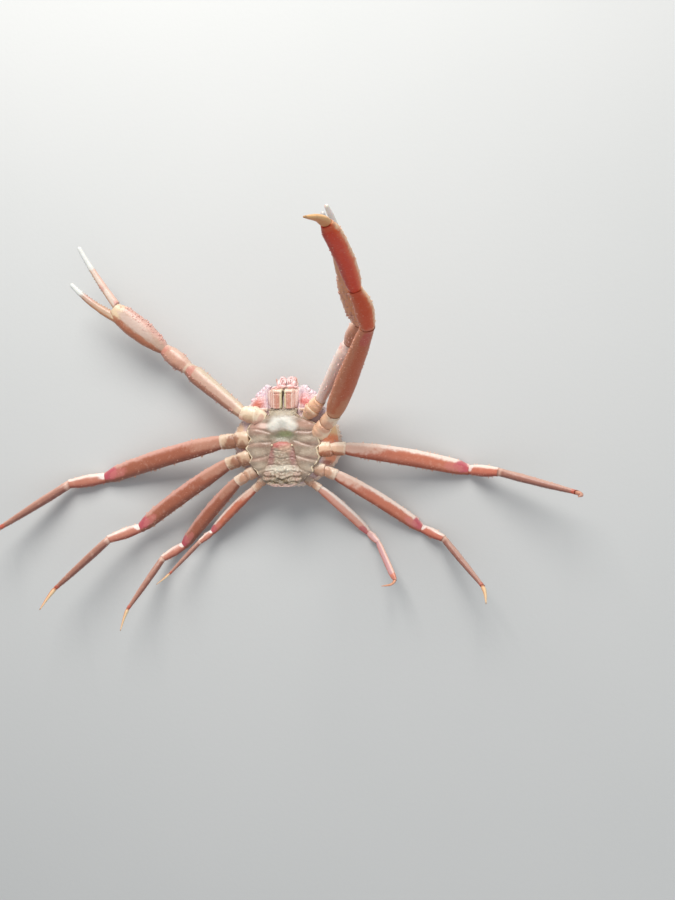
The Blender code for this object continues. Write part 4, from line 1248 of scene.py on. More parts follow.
def shell_at(level, place):
    """Points on the carapace: level 0 to 1 from the floor up, place 0 to 1 round it."""
    level, place = np.broadcast_arrays(np.asarray(level, float), np.asarray(place, float))
    spot = (place % 1.0) * len(OUTLINE)
    x, y = (np.interp(spot, np.arange(len(OUTLINE) + 1), np.append(line, line[0]))
            for line in OUTLINE.T)
    scale = np.interp(level, level_steps, level_scale)
    height = np.interp(level, level_steps, level_height)
    ripple = 0.5 * np.sin(x * 0.21 + 1.3) * np.cos(y * 0.19)
    ripple = ripple * between(height, 0.5, 6) * (1 - between(height, 24, 30))
    scallop = np.abs(np.sin(place * math.pi * 62)) - 0.5 + 0.4 * np.sin(place * 57.0)
    scale = scale + 0.022 * scallop * bell(height, 28.5, 3.0)
    y = SHELL_MIDDLE + (y - SHELL_MIDDLE) * scale
    return np.stack([x * scale, y, height + ripple], -1) * MM


def shell_facing(level, place):
    """Outward direction of the carapace."""
    above, below = np.clip(level + 0.006, 0, 1), np.clip(level - 0.006, 0, 1)
    up = shell_at(above, place) - shell_at(below, place)
    round_ = shell_at(level, place + 0.004) - shell_at(level, place - 0.004)
    return unit(np.cross(round_, up))


print("carapace", round(float(np.ptp(OUTLINE[:, 0])), 1), "by",
      round(float(np.ptp(OUTLINE[:, 1])), 1), "mm without its scallops")

# %% [markdown]
# ## The finish of the back shell
#
# The back is reddish brown, guessed from the species because the photo shows
# none of it. The flank that turns to the belly side is coral to lilac, with
# apricot bulges over each leg and dark red folds between them, their dark
# red partly the skin's own colour and partly painted shade. A cream rim
# parts the two. Heights in the paint are millimetres above the floor.

# %% Back shell finish
FLANK_STAINS = (
    ((255, 210, 158), 1.0, 0.4, 0.5, ((53, 6, 13, 14),)),
    ((255, 210, 158), 0.5, 0.4, 0.5, ((51, -27, 9, 9),)),
    ((255, 210, 158), 0.7, 0.4, 0.5, ((-55, 3, 9, 7),)),
    ((250, 146, 96), 0.85, 0.5, 0.5, ((50, -7, 10, 5),)),
    ((250, 146, 96), 0.5, 0.5, 0.5, ((45, 16, 5, 5),)),
    ((250, 146, 96), 0.7, 0.5, 0.5, ((52, -27, 8, 6),)),
    ((250, 146, 96), 0.6, 0.5, 0.5, ((42, -45, 7, 5),)),
)
# Dark red in the folds between the legs: partly the skin's own colour, partly painted shade
FOLD_COLOUR_AND_SHADE = (((144, 62, 48), 0.8, 0.6, 0.5,
                [(x, y, 5.0, 2.6) for x, y in ((47, -15), (46, -33), (37, -46), (-45, -18),
                                               (-45, -34), (-37, -47))]),)


def carapace_finish():
    """Reddish brown back, pale lilac and coral belly side, with dark red in the folds that is
    partly painted shade.
    """
    p = Paint("carapace shell")
    sway = p.noise(45.0, 3.0) - 0.5
    _, y, height = (part * (1 / MM) for part in p.parts(p.place))
    p.start((150, 78, 54), (186, 112, 84), p.noise(90.0, 5.0, 0.65).step(0.35, 0.7))
    p.lay((204, 142, 120), (height + sway * 8.0).step(18.0, 24.0))
    p.lay((220, 192, 190), (height + sway * 5.0).step(29.0, 34.0))
    front = (y + sway * 10.0).step(16.0, 34.0) * height.step(20.0, 28.0)
    p.lay((236, 208, 214), front * 0.8)
    p.stains_and_shade(FLANK_STAINS, height.step(20.0, 26.0))
    # Dark red folds, partly painted shade
    p.stains_and_shade(FOLD_COLOUR_AND_SHADE)
    cloud = p.noise(240.0, 4.0, 0.6)
    p.lay((240, 216, 204), cloud.step(0.55, 0.75) * 0.4)
    p.lay((150, 66, 54), (1.0 - cloud).step(0.58, 0.78) * 0.25)
    rim = (height + (p.noise(120.0) - 0.5) * 3.0).band(25.0, 32.0, 0.9)
    p.lay((248, 228, 208), rim * 0.8)
    p.lay((242, 220, 206), p.mark * 0.8)
    relief = 0.7 * p.noise(420.0, 5.0, 0.62) + 0.3 * p.noise(1400.0, 2.0)
    return p.finish(0.45 + (cloud - 0.5) * 0.2, relief, 0.0007, 0.2, 0.05)


SHELL = carapace_finish()
print("stains on the flank:", len(FLANK_STAINS))

# %% [markdown]
# ## Grains and horns of the back shell
#
# The margin carries small spines, the back carries knobs and grains, and the
# front ends in two short flat horns. Each band of grains is scattered at
# random between two levels of the bowl, always in the same way, because the
# random numbers start from a fixed seed.

# %% Back shell grains
# Count, lowest and highest level, width, height and upward lean of each band of grains
SHELL_GRAINS = ((120, (0.52, 0.60), 0.0024, 0.0013, 0.0), (260, (0.56, 0.66), 0.0015, 0.0009, 0.1),
                (900, (0.05, 0.60), 0.0015, 0.0008, 0.0), (60, (0.15, 0.5), 0.0030, 0.0018, 0.0),
                (500, (0.62, 0.99), 0.0010, 0.0006, 0.0))
HORN_PROFILE = ((0, 0.012, 0.0068), (0.4, 0.0105, 0.0058), (0.75, 0.0072, 0.004),
                (0.94, 0.0034, 0.0022), (1.0, 0.0012, 0.0010))

basket = Basket("shell_carapace")
basket.sheet(shell_at(level_steps[:, None], np.arange(SHELL_COLUMNS)[None, :] / SHELL_COLUMNS))
dice = np.random.default_rng(5)


def shell_grains(count, levels, width, height, lean):
    """Grains on the carapace between two levels."""
    level = dice.uniform(*levels, count)
    place = dice.uniform(0.0, 1.0, count)
    facing = shell_facing(level, place) + np.array((0, 0, lean))
    size = dice.uniform(0.6, 1.3, count)
    stand_grains(basket, shell_at(level, place), facing, width * size, height * size)


def horn(side):
    """One of the two short flat horns."""
    start = np.array((6.0 * side, 42.0, 24.0)) * MM
    stop = np.array((7.5 * side, 62.0, 22.5)) * MM
    way = unit(stop - start)
    tube = Tube((start, stop), (way, way), (1.0, 0.0, 0.0), HORN_PROFILE, seed=3)
    tube.skin(basket, 40, 24)
    tube.grains(basket, dice, 60, (0, 1.57, math.pi), 0.7, 0.0011, 0.0009, (0.2, 0.95), 0.7)


for band in SHELL_GRAINS:
    shell_grains(*band)
for side in (-1, 1):
    horn(side)
basket.make(SHELL, ["carapace"])
print("carapace faces:", TALLY[-1])

# %% [markdown]
# ## Plates as fields of height
#
# The breast plate, the tail flap and the mouth plates lie nearly level on a
# crab that is on its back, so each is a field of heights over its outline,
# with a wall down to its base. Joints, bulges and knobs are then simple sums
# of soft bumps and grooves, all in millimetres.

# %% Height fields
WAVE_COUNT = 14


def groove(x, y, line, width):
    """A soft groove along a line: 1 on the line and 0 away from it."""
    (ax, ay), (bx, by) = line
    span = np.array((bx - ax, by - ay), float)
    t = np.clip(((x - ax) * span[0] + (y - ay) * span[1]) / float(span @ span), 0, 1)
    return bell(np.hypot(x - ax - span[0] * t, y - ay - span[1] * t), 0, width)


def hill(x, y, centre, radii):
    """A soft round rise of height 1."""
    return np.exp(-((x - centre[0]) / radii[0]) ** 2 - ((y - centre[1]) / radii[1]) ** 2)


def roughen(x, y, size, seed):
    """Gentle uneven relief made of crossing waves."""
    waves = np.random.default_rng(seed)
    total = np.zeros(np.shape(x))
    for _ in range(WAVE_COUNT):
        turn, beat, phase = waves.uniform(0, 6.3), waves.uniform(0.5, 1.6), waves.uniform(0, 6.3)
        along = x * math.cos(turn) + y * math.sin(turn)
        total = total + np.sin(along * (beat / size) * 6.3 + phase)
    return total / WAVE_COUNT


def shape_at(shape, y):
    """Half width at y from a list that runs from the head end to the rear."""
    places, halves = np.array(shape, float)[::-1].T
    return np.interp(y, places, halves)


def height_plate(basket, ys, edges, top, base, columns, bunch):
    """A plate over a range of y. The edges give its two x limits at each y."""
    share = np.linspace(-1, 1, columns)
    share = np.sign(share) * np.abs(share) ** bunch
    y = np.repeat(ys[:, None], columns, axis=1)
    low, high = edges(ys)
    x = (low + high)[:, None] / 2 + share[None, :] * (high - low)[:, None] / 2
    z, mark = top(x, y, np.broadcast_to(share, x.shape))
    grid = np.pad(np.stack([x, y, z], -1) * MM, ((1, 1), (1, 1), (0, 0)), mode="edge")
    for border in (grid[0], grid[-1], grid[:, 0], grid[:, -1]):
        border[..., 2] = base * MM
    basket.sheet(grid, closed=False, mark=np.pad(mark, 1, mode="edge"))


def ball(basket, centre, radii, rows=18, columns=26, relief=0.0, seed=1):
    """A rounded lump, in millimetres."""
    rise = np.linspace(0.03, math.pi - 0.03, rows)[:, None]
    turn = full_turn(columns)[None, :]
    shape = np.stack([np.sin(rise) * np.cos(turn), np.sin(rise) * np.sin(turn),
                      np.cos(rise) + 0 * turn], -1)
    bumps = 1 + relief * roughen(shape[..., 0] * 9 + seed, shape[..., 1] * 9 + shape[..., 2] * 5,
                                 6, seed)
    points = (np.array(centre) + shape * np.array(radii) * bumps[..., None]) * MM
    basket.sheet(points[:, ::-1])


print("waves in the uneven relief:", WAVE_COUNT)

# %% [markdown]
# ## The shape of the breast plate
#
# The sternum is a smooth beige shield between the legs. Its sides are
# scalloped where the legs leave it, with a raised cream rim round each
# socket, and shallow grooves part it into plates. Between the claws it
# swells into two glossy white lobes, with a hollow behind them that is
# painted grey-green as shade.

# %% Breast plate shape
STERNUM_SHAPE = ((23.5, 9), (20, 13.5), (16.5, 17.5), (13.5, 24), (11, 32), (7, 38), (0, 40.5),
                 (-20, 41), (-32, 38.5), (-43, 34), (-50, 27), (-54, 20))
STERNUM_GROOVES = (((41, 3), (15, 0)), ((42, -15.5), (14, -10)), ((40, -33), (15, -24)),
                   ((34, -46), (18, -38)))
SOCKETS = {1: (-4, -19, -38, -50), -1: (-8, -27, -42, -50)}
# Height, centre and radii of the hills that both sides share, and of those on the midline
SIDE_HILLS = ((1.2, (10, 7), (6.0, 5.0)), (0.6, (27, -8), (7, 3.4)), (0.7, (29, -24), (7, 4.5)))
MIDDLE_HILLS = ((2.3, (0, 12), (13, 7)), (-2.3, (0, -5), (12, 4.6)), (-0.4, (0, 6), (4.0, 4.0)))


def sternum_edges(y):
    """The two sides of the breast plate, hollowed at each leg socket."""
    half = shape_at(STERNUM_SHAPE, y)
    sides = []
    for side in (-1, 1):
        bite = 4.2 * sum(bell(y, socket, 5.0) for socket in SOCKETS[side]) * between(half, 15, 30)
        sides.append(side * (half + 1.4 - bite + 0.5 * np.sin(y * 0.9 + side)))
    return sides


def sternum_top(x, y, share):
    """Height of the breast plate and its mark, which is 1 on the rim."""
    a = np.abs(x)
    rim = bell(np.abs(share), 0.965, 0.022) * between(y + 60 + 12 * np.sin(y * 0.45 + x), 8, 26)
    z = 50.0 - 3.4 * np.abs(share) ** 7 + 0.9 * rim
    for line in STERNUM_GROOVES:
        bend = y + 1.2 * np.sin(x * 0.16 + line[0][1])
        z = z - 0.7 * groove(a, bend, line, 1.4) + 0.28 * groove(a, bend + 3.2, line, 2.6)
    z = z + sum(tall * hill(x, y, centre, radii) for tall, centre, radii in MIDDLE_HILLS)
    z = z + sum(tall * hill(a, y, centre, radii) for tall, centre, radii in SIDE_HILLS)
    z = z - 2.0 * bell(y, 24, 3) + 0.30 * roughen(x, y, 9, 4) + 0.14 * roughen(x, y, 2.5, 5)
    return z, rim


print("breast plate sides at the middle:", [round(float(side), 1) for side in sternum_edges(0.0)])

# %% [markdown]
# ## The finish of the breast plate
#
# The plate is beige and wet, with rosy grooves, paler fields between them
# and cream rims. The lobes in front are nearly white, and the hollow behind
# them is painted grey to moss green as shade. The colours are ovals with
# ragged edges, which run into each other as the stains on the real shell do.

# %% Breast plate
FRONT_GRAINS = 900
# Colour, share, softness, wander of the edge, and ovals given as x, y and two radii
STERNUM_STAINS_AND_SHADE = (
    ((176, 130, 114), 0.4, 0.8, 1.1, ((25, -13, 15, 2.4), (-26, -14, 15, 2.4), (27, -28, 14, 3.0),
                                      (-27, -29, 14, 3.0), (27, 0, 13, 2.6), (-28, -1, 13, 2.6))),
    ((192, 174, 152), 0.6, 0.7, 1.0, ((27, -7, 10, 3), (-28, -8, 10, 3), (29, -21, 9, 4),
                                      (-29, -22, 9, 4), (25, -38, 6, 4), (-25, -38, 6, 4))),
    ((196, 150, 130), 0.7, 0.6, 0.5, ((25, 8.5, 12, 4.5),)),
    ((204, 152, 134), 0.7, 0.6, 0.5, ((-28, 6, 11, 4.0),)),
    ((255, 224, 208), 0.8, 0.6, 0.5, ((-21, 6.5, 6.5, 2.6),)),
    ((228, 224, 212), 0.9, 0.5, 0.5, ((0, 11, 12.5, 7.5),)),
    ((240, 234, 220), 0.9, 0.5, 0.5, ((-10.5, 6.0, 6.5, 5.0), (9.5, 6.0, 6.5, 5.0))),
    # This row and the next: painted shade in the hollow behind the lobes, grey to moss green
    ((124, 122, 98), 0.95, 0.6, 0.9, ((0.5, -5.0, 13.5, 4.6),)),
    ((146, 156, 104), 0.6, 0.6, 0.9, ((3, -1.6, 7.0, 2.8),)),
    ((178, 166, 150), 0.85, 0.4, 0.5, ((0, 20.0, 16, 4.4),)),
)


def sternum_finish():
    """Wet beige, stained, with painted shade in the hollow, cream rims and fine veins."""
    p = Paint("breast plate shell")
    cloud = p.noise(95.0, 4.0, 0.6)
    p.start((146, 124, 106), (174, 154, 134), cloud.step(0.36, 0.68))
    p.stains_and_shade(STERNUM_STAINS_AND_SHADE)
    p.lay((232, 212, 178), p.mark.step(0.1, 0.8) * (cloud.step(0.3, 0.6) * 0.5 + 0.45))
    vein = p.noise(420.0, 5.0, 0.7)
    p.lay((226, 206, 184), vein.step(0.56, 0.7) * 0.4)
    p.lay((146, 104, 88), (1.0 - vein).step(0.57, 0.72) * 0.35)
    return p.finish(0.38 + (cloud - 0.5) * 0.2, p.noise(330.0, 5.0, 0.62), 0.0006, 0.25, 0.12)


basket = Basket("shell_sternum")
height_plate(basket, np.linspace(23.5, -54, 150), sternum_edges, sternum_top, 43.4, 150, 0.85)
x = dice.uniform(-15, 15, FRONT_GRAINS)
y = 17.0 + 6.4 * dice.uniform(0, 1, FRONT_GRAINS) ** 0.7
z, _ = sternum_top(x, y, x / 40)
stand_grains(basket, np.stack([x, y, z], -1) * MM, np.full((FRONT_GRAINS, 3), (0.0, 0.0, 1.0)),
             dice.uniform(0.0004, 0.0008, FRONT_GRAINS),
             dice.uniform(0.0001, 0.0003, FRONT_GRAINS), 0.3, 0.5)
for k in range(-4, 5):
    ball(basket, (k * 3.5, 24.0, 46.4), (2.5, 1.7, 2.6), relief=0.08, seed=k + 20)
basket.make(sternum_finish(), ["sternum"])
print("breast plate faces:", TALLY[-1])

# %% [markdown]
# ## The shape of the tail flap
#
# A male crab folds its narrow tail flat under the body, in a groove of the
# breast plate. Seven plates show, from the rounded coral tip between two
# white buttons to the broad knobbly base. Towards the rear the plates are
# set on edge, with folds of skin between their cream ridges, painted dark
# olive as shade.

# %% Tail flap shape
ABDOMEN_SHAPE = ((-11, 5), (-13, 9.6), (-16.5, 12.0), (-21, 12.8), (-26.5, 13.8), (-31, 15.2),
                 (-36.5, 17), (-41.5, 19), (-46, 20.6), (-50, 20.9), (-54, 19.8), (-57, 15.5),
                 (-59, 10))
ABDOMEN_JOINTS = (-20.5, -28.5, -36, -43, -49, -54.5)
KNOB_COUNT = 90


def abdomen_edges(y):
    """The two sides of the tail flap, nicked at each joint and round at the tip."""
    half = shape_at(ABDOMEN_SHAPE, y) + 0.5 * np.sqrt(np.clip((-10.6 - y) / 0.5, 0, 1))
    for joint in ABDOMEN_JOINTS:
        half = half - 0.55 * bell(y, joint, 0.8)
    return -half, half


def abdomen_top(x, y, share):
    """Height of the tail flap and its mark, which falls below 0 in the folds and in low ground at
    the rear, where shade is painted.
    """
    rear = between(-y, 40, 49)
    z = 54.0 - 2.6 * np.abs(share) ** 4 - 2.0 * bell(y, -10.3, 1.8)
    worn = 0.55 + 0.9 * np.abs(roughen(x, y, 7, 21))
    dark = np.zeros(np.shape(x))
    for k, joint in enumerate(ABDOMEN_JOINTS):
        bend = joint + (0.20 * np.abs(x) - 2.2) * between(-joint, 40, 50) - 0.7 * np.cos(x * 0.35)
        bend = bend + 1.1 * roughen(x, y, 6, 30 + k)
        broken = between(0.62 + 0.9 * roughen(x, y, 5, 60 + k), 0.2, 0.8)
        cut = bell(y, bend, 0.6 + 0.4 * rear) * worn * (1 - rear + rear * broken)
        z = z - (0.45 + 1.2 * rear) * cut + (0.30 + 0.5 * rear) * bell(y, bend + 2.0, 1.3)
        dark = np.maximum(dark, cut * (0.12 + 0.6 * rear))
    z = z + 1.5 * hill(x, y, (0, -15.0), (8.5, 4.2))
    z = z + 0.7 * np.cos(share * 6.6) * between(-y, 16, 30)
    knobs = np.random.default_rng(12)
    for _ in range(KNOB_COUNT):
        spot = knobs.uniform(-18, 18), knobs.uniform(-58, -19)
        tall = 0.3 + 0.8 * float(between(-spot[1], 34, 44))
        z = z + tall * hill(x, y, spot, knobs.uniform(1.0, 2.2, 2))
    z = z + 0.35 * roughen(x, y, 4.5, 8) + 0.3 * roughen(x, y, 1.8, 9) * (0.5 + rear)
    # Low ground at the rear also takes the mark, for painted shade there
    dip = between(52.6 - 1.6 * rear - 2.6 * np.abs(share) ** 4 - z, 0.0, 1.2) * between(-y, 30, 44)
    return z, -np.maximum(dark, 0.8 * dip)


print("plates of the tail flap:", len(ABDOMEN_JOINTS) + 1)

# %% [markdown]
# ## The finish of the tail flap
#
# Beige plates, rosy along both edges, a coral tip, a cream bar across the
# broad part, and painted olive shade in the folds. The shade is painted by
# the same mark that the height field gives, so that dark colour and dip
# always fall together.

# %% Tail flap
TAIL_STAINS_AND_SHADE = (
    ((156, 104, 98), 0.8, 0.6, 0.9, ((-12.5, -25, 4.4, 12),)),
    ((184, 146, 130), 0.5, 0.6, 0.9, ((-16, -45, 3.4, 9),)),
    ((156, 104, 98), 0.8, 0.6, 0.9, ((12.5, -25, 4.4, 12),)),
    ((184, 146, 130), 0.5, 0.6, 0.9, ((16, -45, 3.4, 9),)),
    ((192, 110, 102), 0.9, 0.4, 0.8, ((-2.0, -13.5, 10.5, 4.4),)),
    ((216, 176, 150), 0.7, 0.5, 0.9, ((4, -18, 7, 4),)),
    ((228, 218, 198), 0.75, 0.6, 0.8, ((0, -39.5, 19, 3.4),)),
    # Painted olive shade in the fold at the base
    ((108, 92, 66), 0.8, 0.6, 1.0, ((-2, -53.6, 15, 2.6),)),
    ((226, 190, 178), 0.8, 0.5, 0.8, ((0, -58.6, 20, 2.6),)),
)


def abdomen_finish():
    """Beige, stained, with painted olive shade in the folds and fine veins."""
    p = Paint("tail flap shell")
    cloud = p.noise(220.0, 4.0, 0.6)
    p.start((158, 134, 114), (184, 168, 146), cloud.step(0.38, 0.66))
    p.stains_and_shade(TAIL_STAINS_AND_SHADE)
    # Painted olive shade in the folds and dips, where the mark falls below 0
    p.lay((122, 104, 72), (0.0 - p.mark).step(0.10, 0.8) * 0.9)
    vein = p.noise(500.0, 5.0, 0.7)
    p.lay((140, 100, 82), (1.0 - vein).step(0.56, 0.72) * 0.4)
    p.lay((236, 222, 200), vein.step(0.58, 0.72) * 0.35)
    return p.finish(0.38 + (cloud - 0.5) * 0.2, p.noise(420.0, 5.0, 0.62), 0.0007, 0.3, 0.12)


basket = Basket("shell_abdomen")
height_plate(basket, np.linspace(-10.6, -59, 190), abdomen_edges, abdomen_top, 46.6, 110, 0.95)
basket.make(abdomen_finish(), ["abdomen"])
print("tail flap faces:", TALLY[-1])

BUTTON = limb_finish("cream button", ((234, 214, 184), (228, 206, 174), (216, 186, 156)),
                     back=(214, 186, 156), streak=0.3)
basket = Basket("tail_buttons")
for side in (-1, 1):
    ball(basket, (side * 11.0, -14.6, 53.2), (1.3, 1.2, 1.2), relief=0.08, seed=side + 2)
basket.make(BUTTON, [])

# %% [markdown]
# ## The mouth
#
# Two long plates, the third maxillipeds, close the mouth like a pair of
# doors. Each is salmon with cream edges and a narrow pale strip along its
# outer side, and a gap parts them, painted dark as shade. Both come from one
# outline that is mirrored, and the paint folds the left half onto the right
# one.

# %% Mouth plates
# Place along the mouth, inner limit and outer limit of a plate
DOOR_SHAPE = ((25.0, 3.0, 11.0), (26.0, 1.4, 13.8), (29.0, 1.2, 15.4), (33.0, 1.1, 16.6),
              (37.0, 1.0, 17.2), (40.0, 0.9, 17.4), (43.0, 1.0, 16.8), (45.0, 1.2, 15.6),
              (46.8, 2.0, 13.0))
# Height (below 0 for a groove), line and width of the lines on a plate
DOOR_LINES = ((-1.4, ((11.2, 20), (11.6, 50)), 0.6), (0.5, ((2.3, 27), (2.2, 44)), 0.8),
              (-0.8, ((0, 41.2), (10, 41.0)), 0.5), (-0.5, ((4.0, 27), (3.8, 40)), 0.4),
              (-0.6, ((13.6, 20), (13.8, 50)), 0.4), (-0.3, ((8.2, 27), (8.4, 40)), 0.5))
# Colour, share, from, to, softness and sway of the stripes, in millimetres from the midline
DOOR_STRIPES = (((204, 128, 104), 0.55, 5.8, 7.4, 0.9, 1.0),
                ((236, 208, 194), 0.8, 9.6, 12.6, 0.5, 0.4),
                ((190, 118, 104), 0.6, 11.1, 11.7, 0.3, 0.0))


def door_edges_for(side):
    """The edges of one mouth plate, or of its mirror image."""
    def edges(y):
        ys, inner, outer = np.array(DOOR_SHAPE).T
        low, high = np.interp(y, ys, inner) * side, np.interp(y, ys, outer) * side
        return (low, high) if side > 0 else (high, low)
    return edges


def door_top(x, y, share):
    """Height of a mouth plate. It has no mark."""
    a = np.abs(x)
    z = 49.9 - 2.0 * np.abs(share) ** 6 + 0.6 * hill(a, y, (6.0, 34), (3.0, 9))
    z = z + sum(tall * groove(a, y, line, width) for tall, line, width in DOOR_LINES)
    z = z - 3.2 * bell(y, 48.2, 2.4) - 0.8 * between(a, 11.6, 17)
    return z + 0.16 * roughen(x, y, 3, 3), 0 * x


def mouth_finish():
    """Salmon plates with cream edges and painted shade in the gap on the midline."""
    p = Paint("mouth plate shell")
    aside = p.parts(p.place)[0]
    folded = p.node("ShaderNodeMath", {"operation": "ABSOLUTE"}, {0: aside}) * (1 / MM)
    sway = (p.noise(160.0, 3.0) - 0.5) * 2.2
    p.start((192, 136, 116), (212, 166, 148), p.noise(260.0, 4.0).step(0.38, 0.62))
    p.lay((222, 208, 168), 1.0 - (folded + sway * 0.5).step(2.4, 4.2))
    for shade, share, low, high, soft, uneven in DOOR_STRIPES:
        p.lay(shade, (folded + sway * uneven).band(low, high, soft) * share)
    p.lay((236, 206, 196), folded.step(13.0, 14.0) * 0.8)
    p.lay((200, 140, 126), folded.band(13.5, 14.0, 0.25) * 0.6)
    p.stains_and_shade((((236, 222, 198), 0.6, 0.5, 0.5, ((0, 44.3, 13, 1.8),)),))
    # Painted shade on the inner walls of the gap between the plates
    p.lay((78, 60, 40), 1.0 - folded.step(0.9, 1.5))
    vein = p.noise(700.0, 4.0, 0.7)
    p.lay((170, 98, 84), (1.0 - vein).step(0.58, 0.74) * 0.3)
    return p.finish(0.36, p.noise(500.0, 4.0), 0.0004, 0.4, 0.12)


MOUTH = mouth_finish()
for side, word in ((1, "left"), (-1, "right")):
    basket = Basket("shell_maxilliped_" + word)
    height_plate(basket, np.linspace(46.6, 25, 90), door_edges_for(side), door_top, 34.0, 64, 0.9)
    basket.make(MOUTH, ["maxilliped_" + word])
print("faces in a mouth plate:", TALLY[-1])

# %% [markdown]
# ## The shape of the panels beside the mouth
#
# Coral panels bulge on both sides of the mouth inside a pale granulated
# border. They belong to the underside of the carapace but are not one of
# the plain solids. Each is a height field of its own.

# %% Panel shape
PANEL_EDGE = ((23.0, 44), (26.5, 43.5), (33, 38.5), (40.6, 31.5), (46.5, 25.5), (49.5, 20.5),
              (51, 18.6))
PANEL_INNER = 17.6
PANEL_LINES = ((-1.0, ((19, 26.4), (41, 26.8)), 0.8), (0.9, ((19, 24.6), (42, 25.0)), 1.0),
               (-0.8, ((20, 28), (21, 42)), 0.7))


def panel_outer(y):
    """How far out a panel reaches at y."""
    return np.interp(y, *np.array(PANEL_EDGE, float).T)


def panel_edges_for(side):
    """The edges of one panel, or of its mirror image."""
    def edges(y):
        outer = panel_outer(y) + 0.5 * np.sin(y * 1.7)
        inner = np.minimum(PANEL_INNER, outer - 0.8)
        return (inner, outer) if side > 0 else (-outer, -inner)
    return edges


def panel_top(x, y, share):
    """Height of a panel: a coral bulge inside a raised granulated border."""
    a = np.abs(x)
    away = between(panel_outer(y) - a, 0.0, 9.0)
    z = 35.0 + 8.2 * away ** 0.8 + 5.2 * bell(a, 17.2, 3.2) * between(51.5 - y, 0, 5)
    z = z + 2.0 * hill(a, y, (28.5, 31.5), (7.0, 5.5))
    z = z + sum(tall * groove(a, y, line, width) for tall, line, width in PANEL_LINES)
    return z + 0.45 * roughen(x, y, 4.5, 15) + 0.25 * roughen(x, y, 2.0, 16), 0 * x


print("panel width beside the mouth:", round(float(panel_outer(36.0)) - PANEL_INNER, 1), "mm")

# %% [markdown]
# ## The panels
#
# The paint is pale pink with coral bulges. A chain of lumps and many small
# grains along the outer border hide the seam to the carapace. Each side
# takes its own random numbers, so the two are alike but not mirrored.

# %% Panels
LUMP_COUNT, BORDER_GRAINS = 26, 420
PANEL_STAINS = (
    ((222, 164, 156), 0.8, 0.5, 0.5, ((-29.0, 33.0, 9.0, 7.0),)),
    ((206, 112, 92), 0.85, 0.5, 0.5, ((-30.5, 30.5, 7.4, 4.6),)),
    ((224, 166, 164), 0.8, 0.4, 0.5, ((24.0, 36.0, 6.4, 6.8),)),
    ((210, 112, 104), 0.85, 0.5, 0.5, ((24.0, 32.6, 5.6, 4.0),)),
    ((236, 208, 186), 0.7, 0.4, 0.5, ((0, 24.6, 44, 1.6),)),
)


def panel_finish():
    """Pale pink with coral bulges and a cream line in front."""
    p = Paint("panel shell")
    p.start((224, 196, 206), (244, 222, 222), p.noise(240.0).step(0.38, 0.65))
    p.stains_and_shade(PANEL_STAINS)
    vein = p.noise(500.0, 5.0, 0.7)
    p.lay((180, 110, 104), (1.0 - vein).step(0.58, 0.74) * 0.3)
    p.lay((248, 234, 230), p.mark * 0.8)
    return p.finish(0.36, p.noise(460.0, 4.0), 0.0004, 0.35, 0.12)


def panel_border(basket, side):
    """Lumps and grains along the outer border of a panel."""
    for k in range(LUMP_COUNT):
        along = dice.uniform(0, 1)
        y, size = 50.0 - 17.0 * along, dice.uniform(1.4, 3.2)
        x = panel_outer(y) + dice.uniform(-1.8, 1.0)
        ball(basket, (side * x, y, 36.5 - 3.0 * along + dice.uniform(-1.5, 0.8)),
             (size, size, size * 0.8), 12, 16, relief=0.10, seed=k)
    y = dice.uniform(24, 50.5, BORDER_GRAINS)
    x = panel_outer(y) - dice.exponential(1.6, BORDER_GRAINS)
    z, _ = panel_top(x, y, 0)
    aims = np.full((BORDER_GRAINS, 3), (side * 0.4, 0.35, 0.8))
    stand_grains(basket, np.stack([side * x, y, z], -1) * MM, aims,
                 dice.uniform(0.0008, 0.0015, BORDER_GRAINS),
                 dice.uniform(0.0004, 0.0010, BORDER_GRAINS), 0.3,
                 dice.uniform(0.3, 0.9, BORDER_GRAINS).repeat(GRAIN_POINTS))


PANEL = panel_finish()
for side, word in ((1, "left"), (-1, "right")):
    basket = Basket("panel_" + word)
    height_plate(basket, np.linspace(51, 23, 80), panel_edges_for(side), panel_top, 27.0, 70, 0.95)
    ball(basket, (side * 38.0, 18.0, 32.5), (9.6, 9.0, 7.2), 34, 48, relief=0.06, seed=4)
    panel_border(basket, side)
    basket.make(PANEL, [])
print("faces in a panel:", TALLY[-1])

# %% [markdown]
# ## The front cluster
#
# In front of the mouth sit the antennules, folded in two pockets, with
# bristles round them. They are far too small for the photo to show apart, so
# fleshy arches, a few lumps and a tuft of thin grains stand for them, in one
# piece with a pale pink finish.

# %% Front cluster
ARCH_STEPS, ARCH_SIDES = 49, 12
BRISTLES, TUFT_MIDDLE = 460, 1.3


def plain_finish(name, first, second, rough=0.4, coat=0.3, glow=0.1, depth=0.0004):
    """A simple mottled finish."""
    p = Paint(name)
    cloud = p.noise(260.0, 4.0, 0.6)
    p.start(first, second, cloud.step(0.38, 0.66))
    p.lay((244, 222, 216), p.mark * 0.7)
    return p.finish(rough + (cloud - 0.5) * 0.2, p.noise(600.0, 4.0), depth, coat, glow)


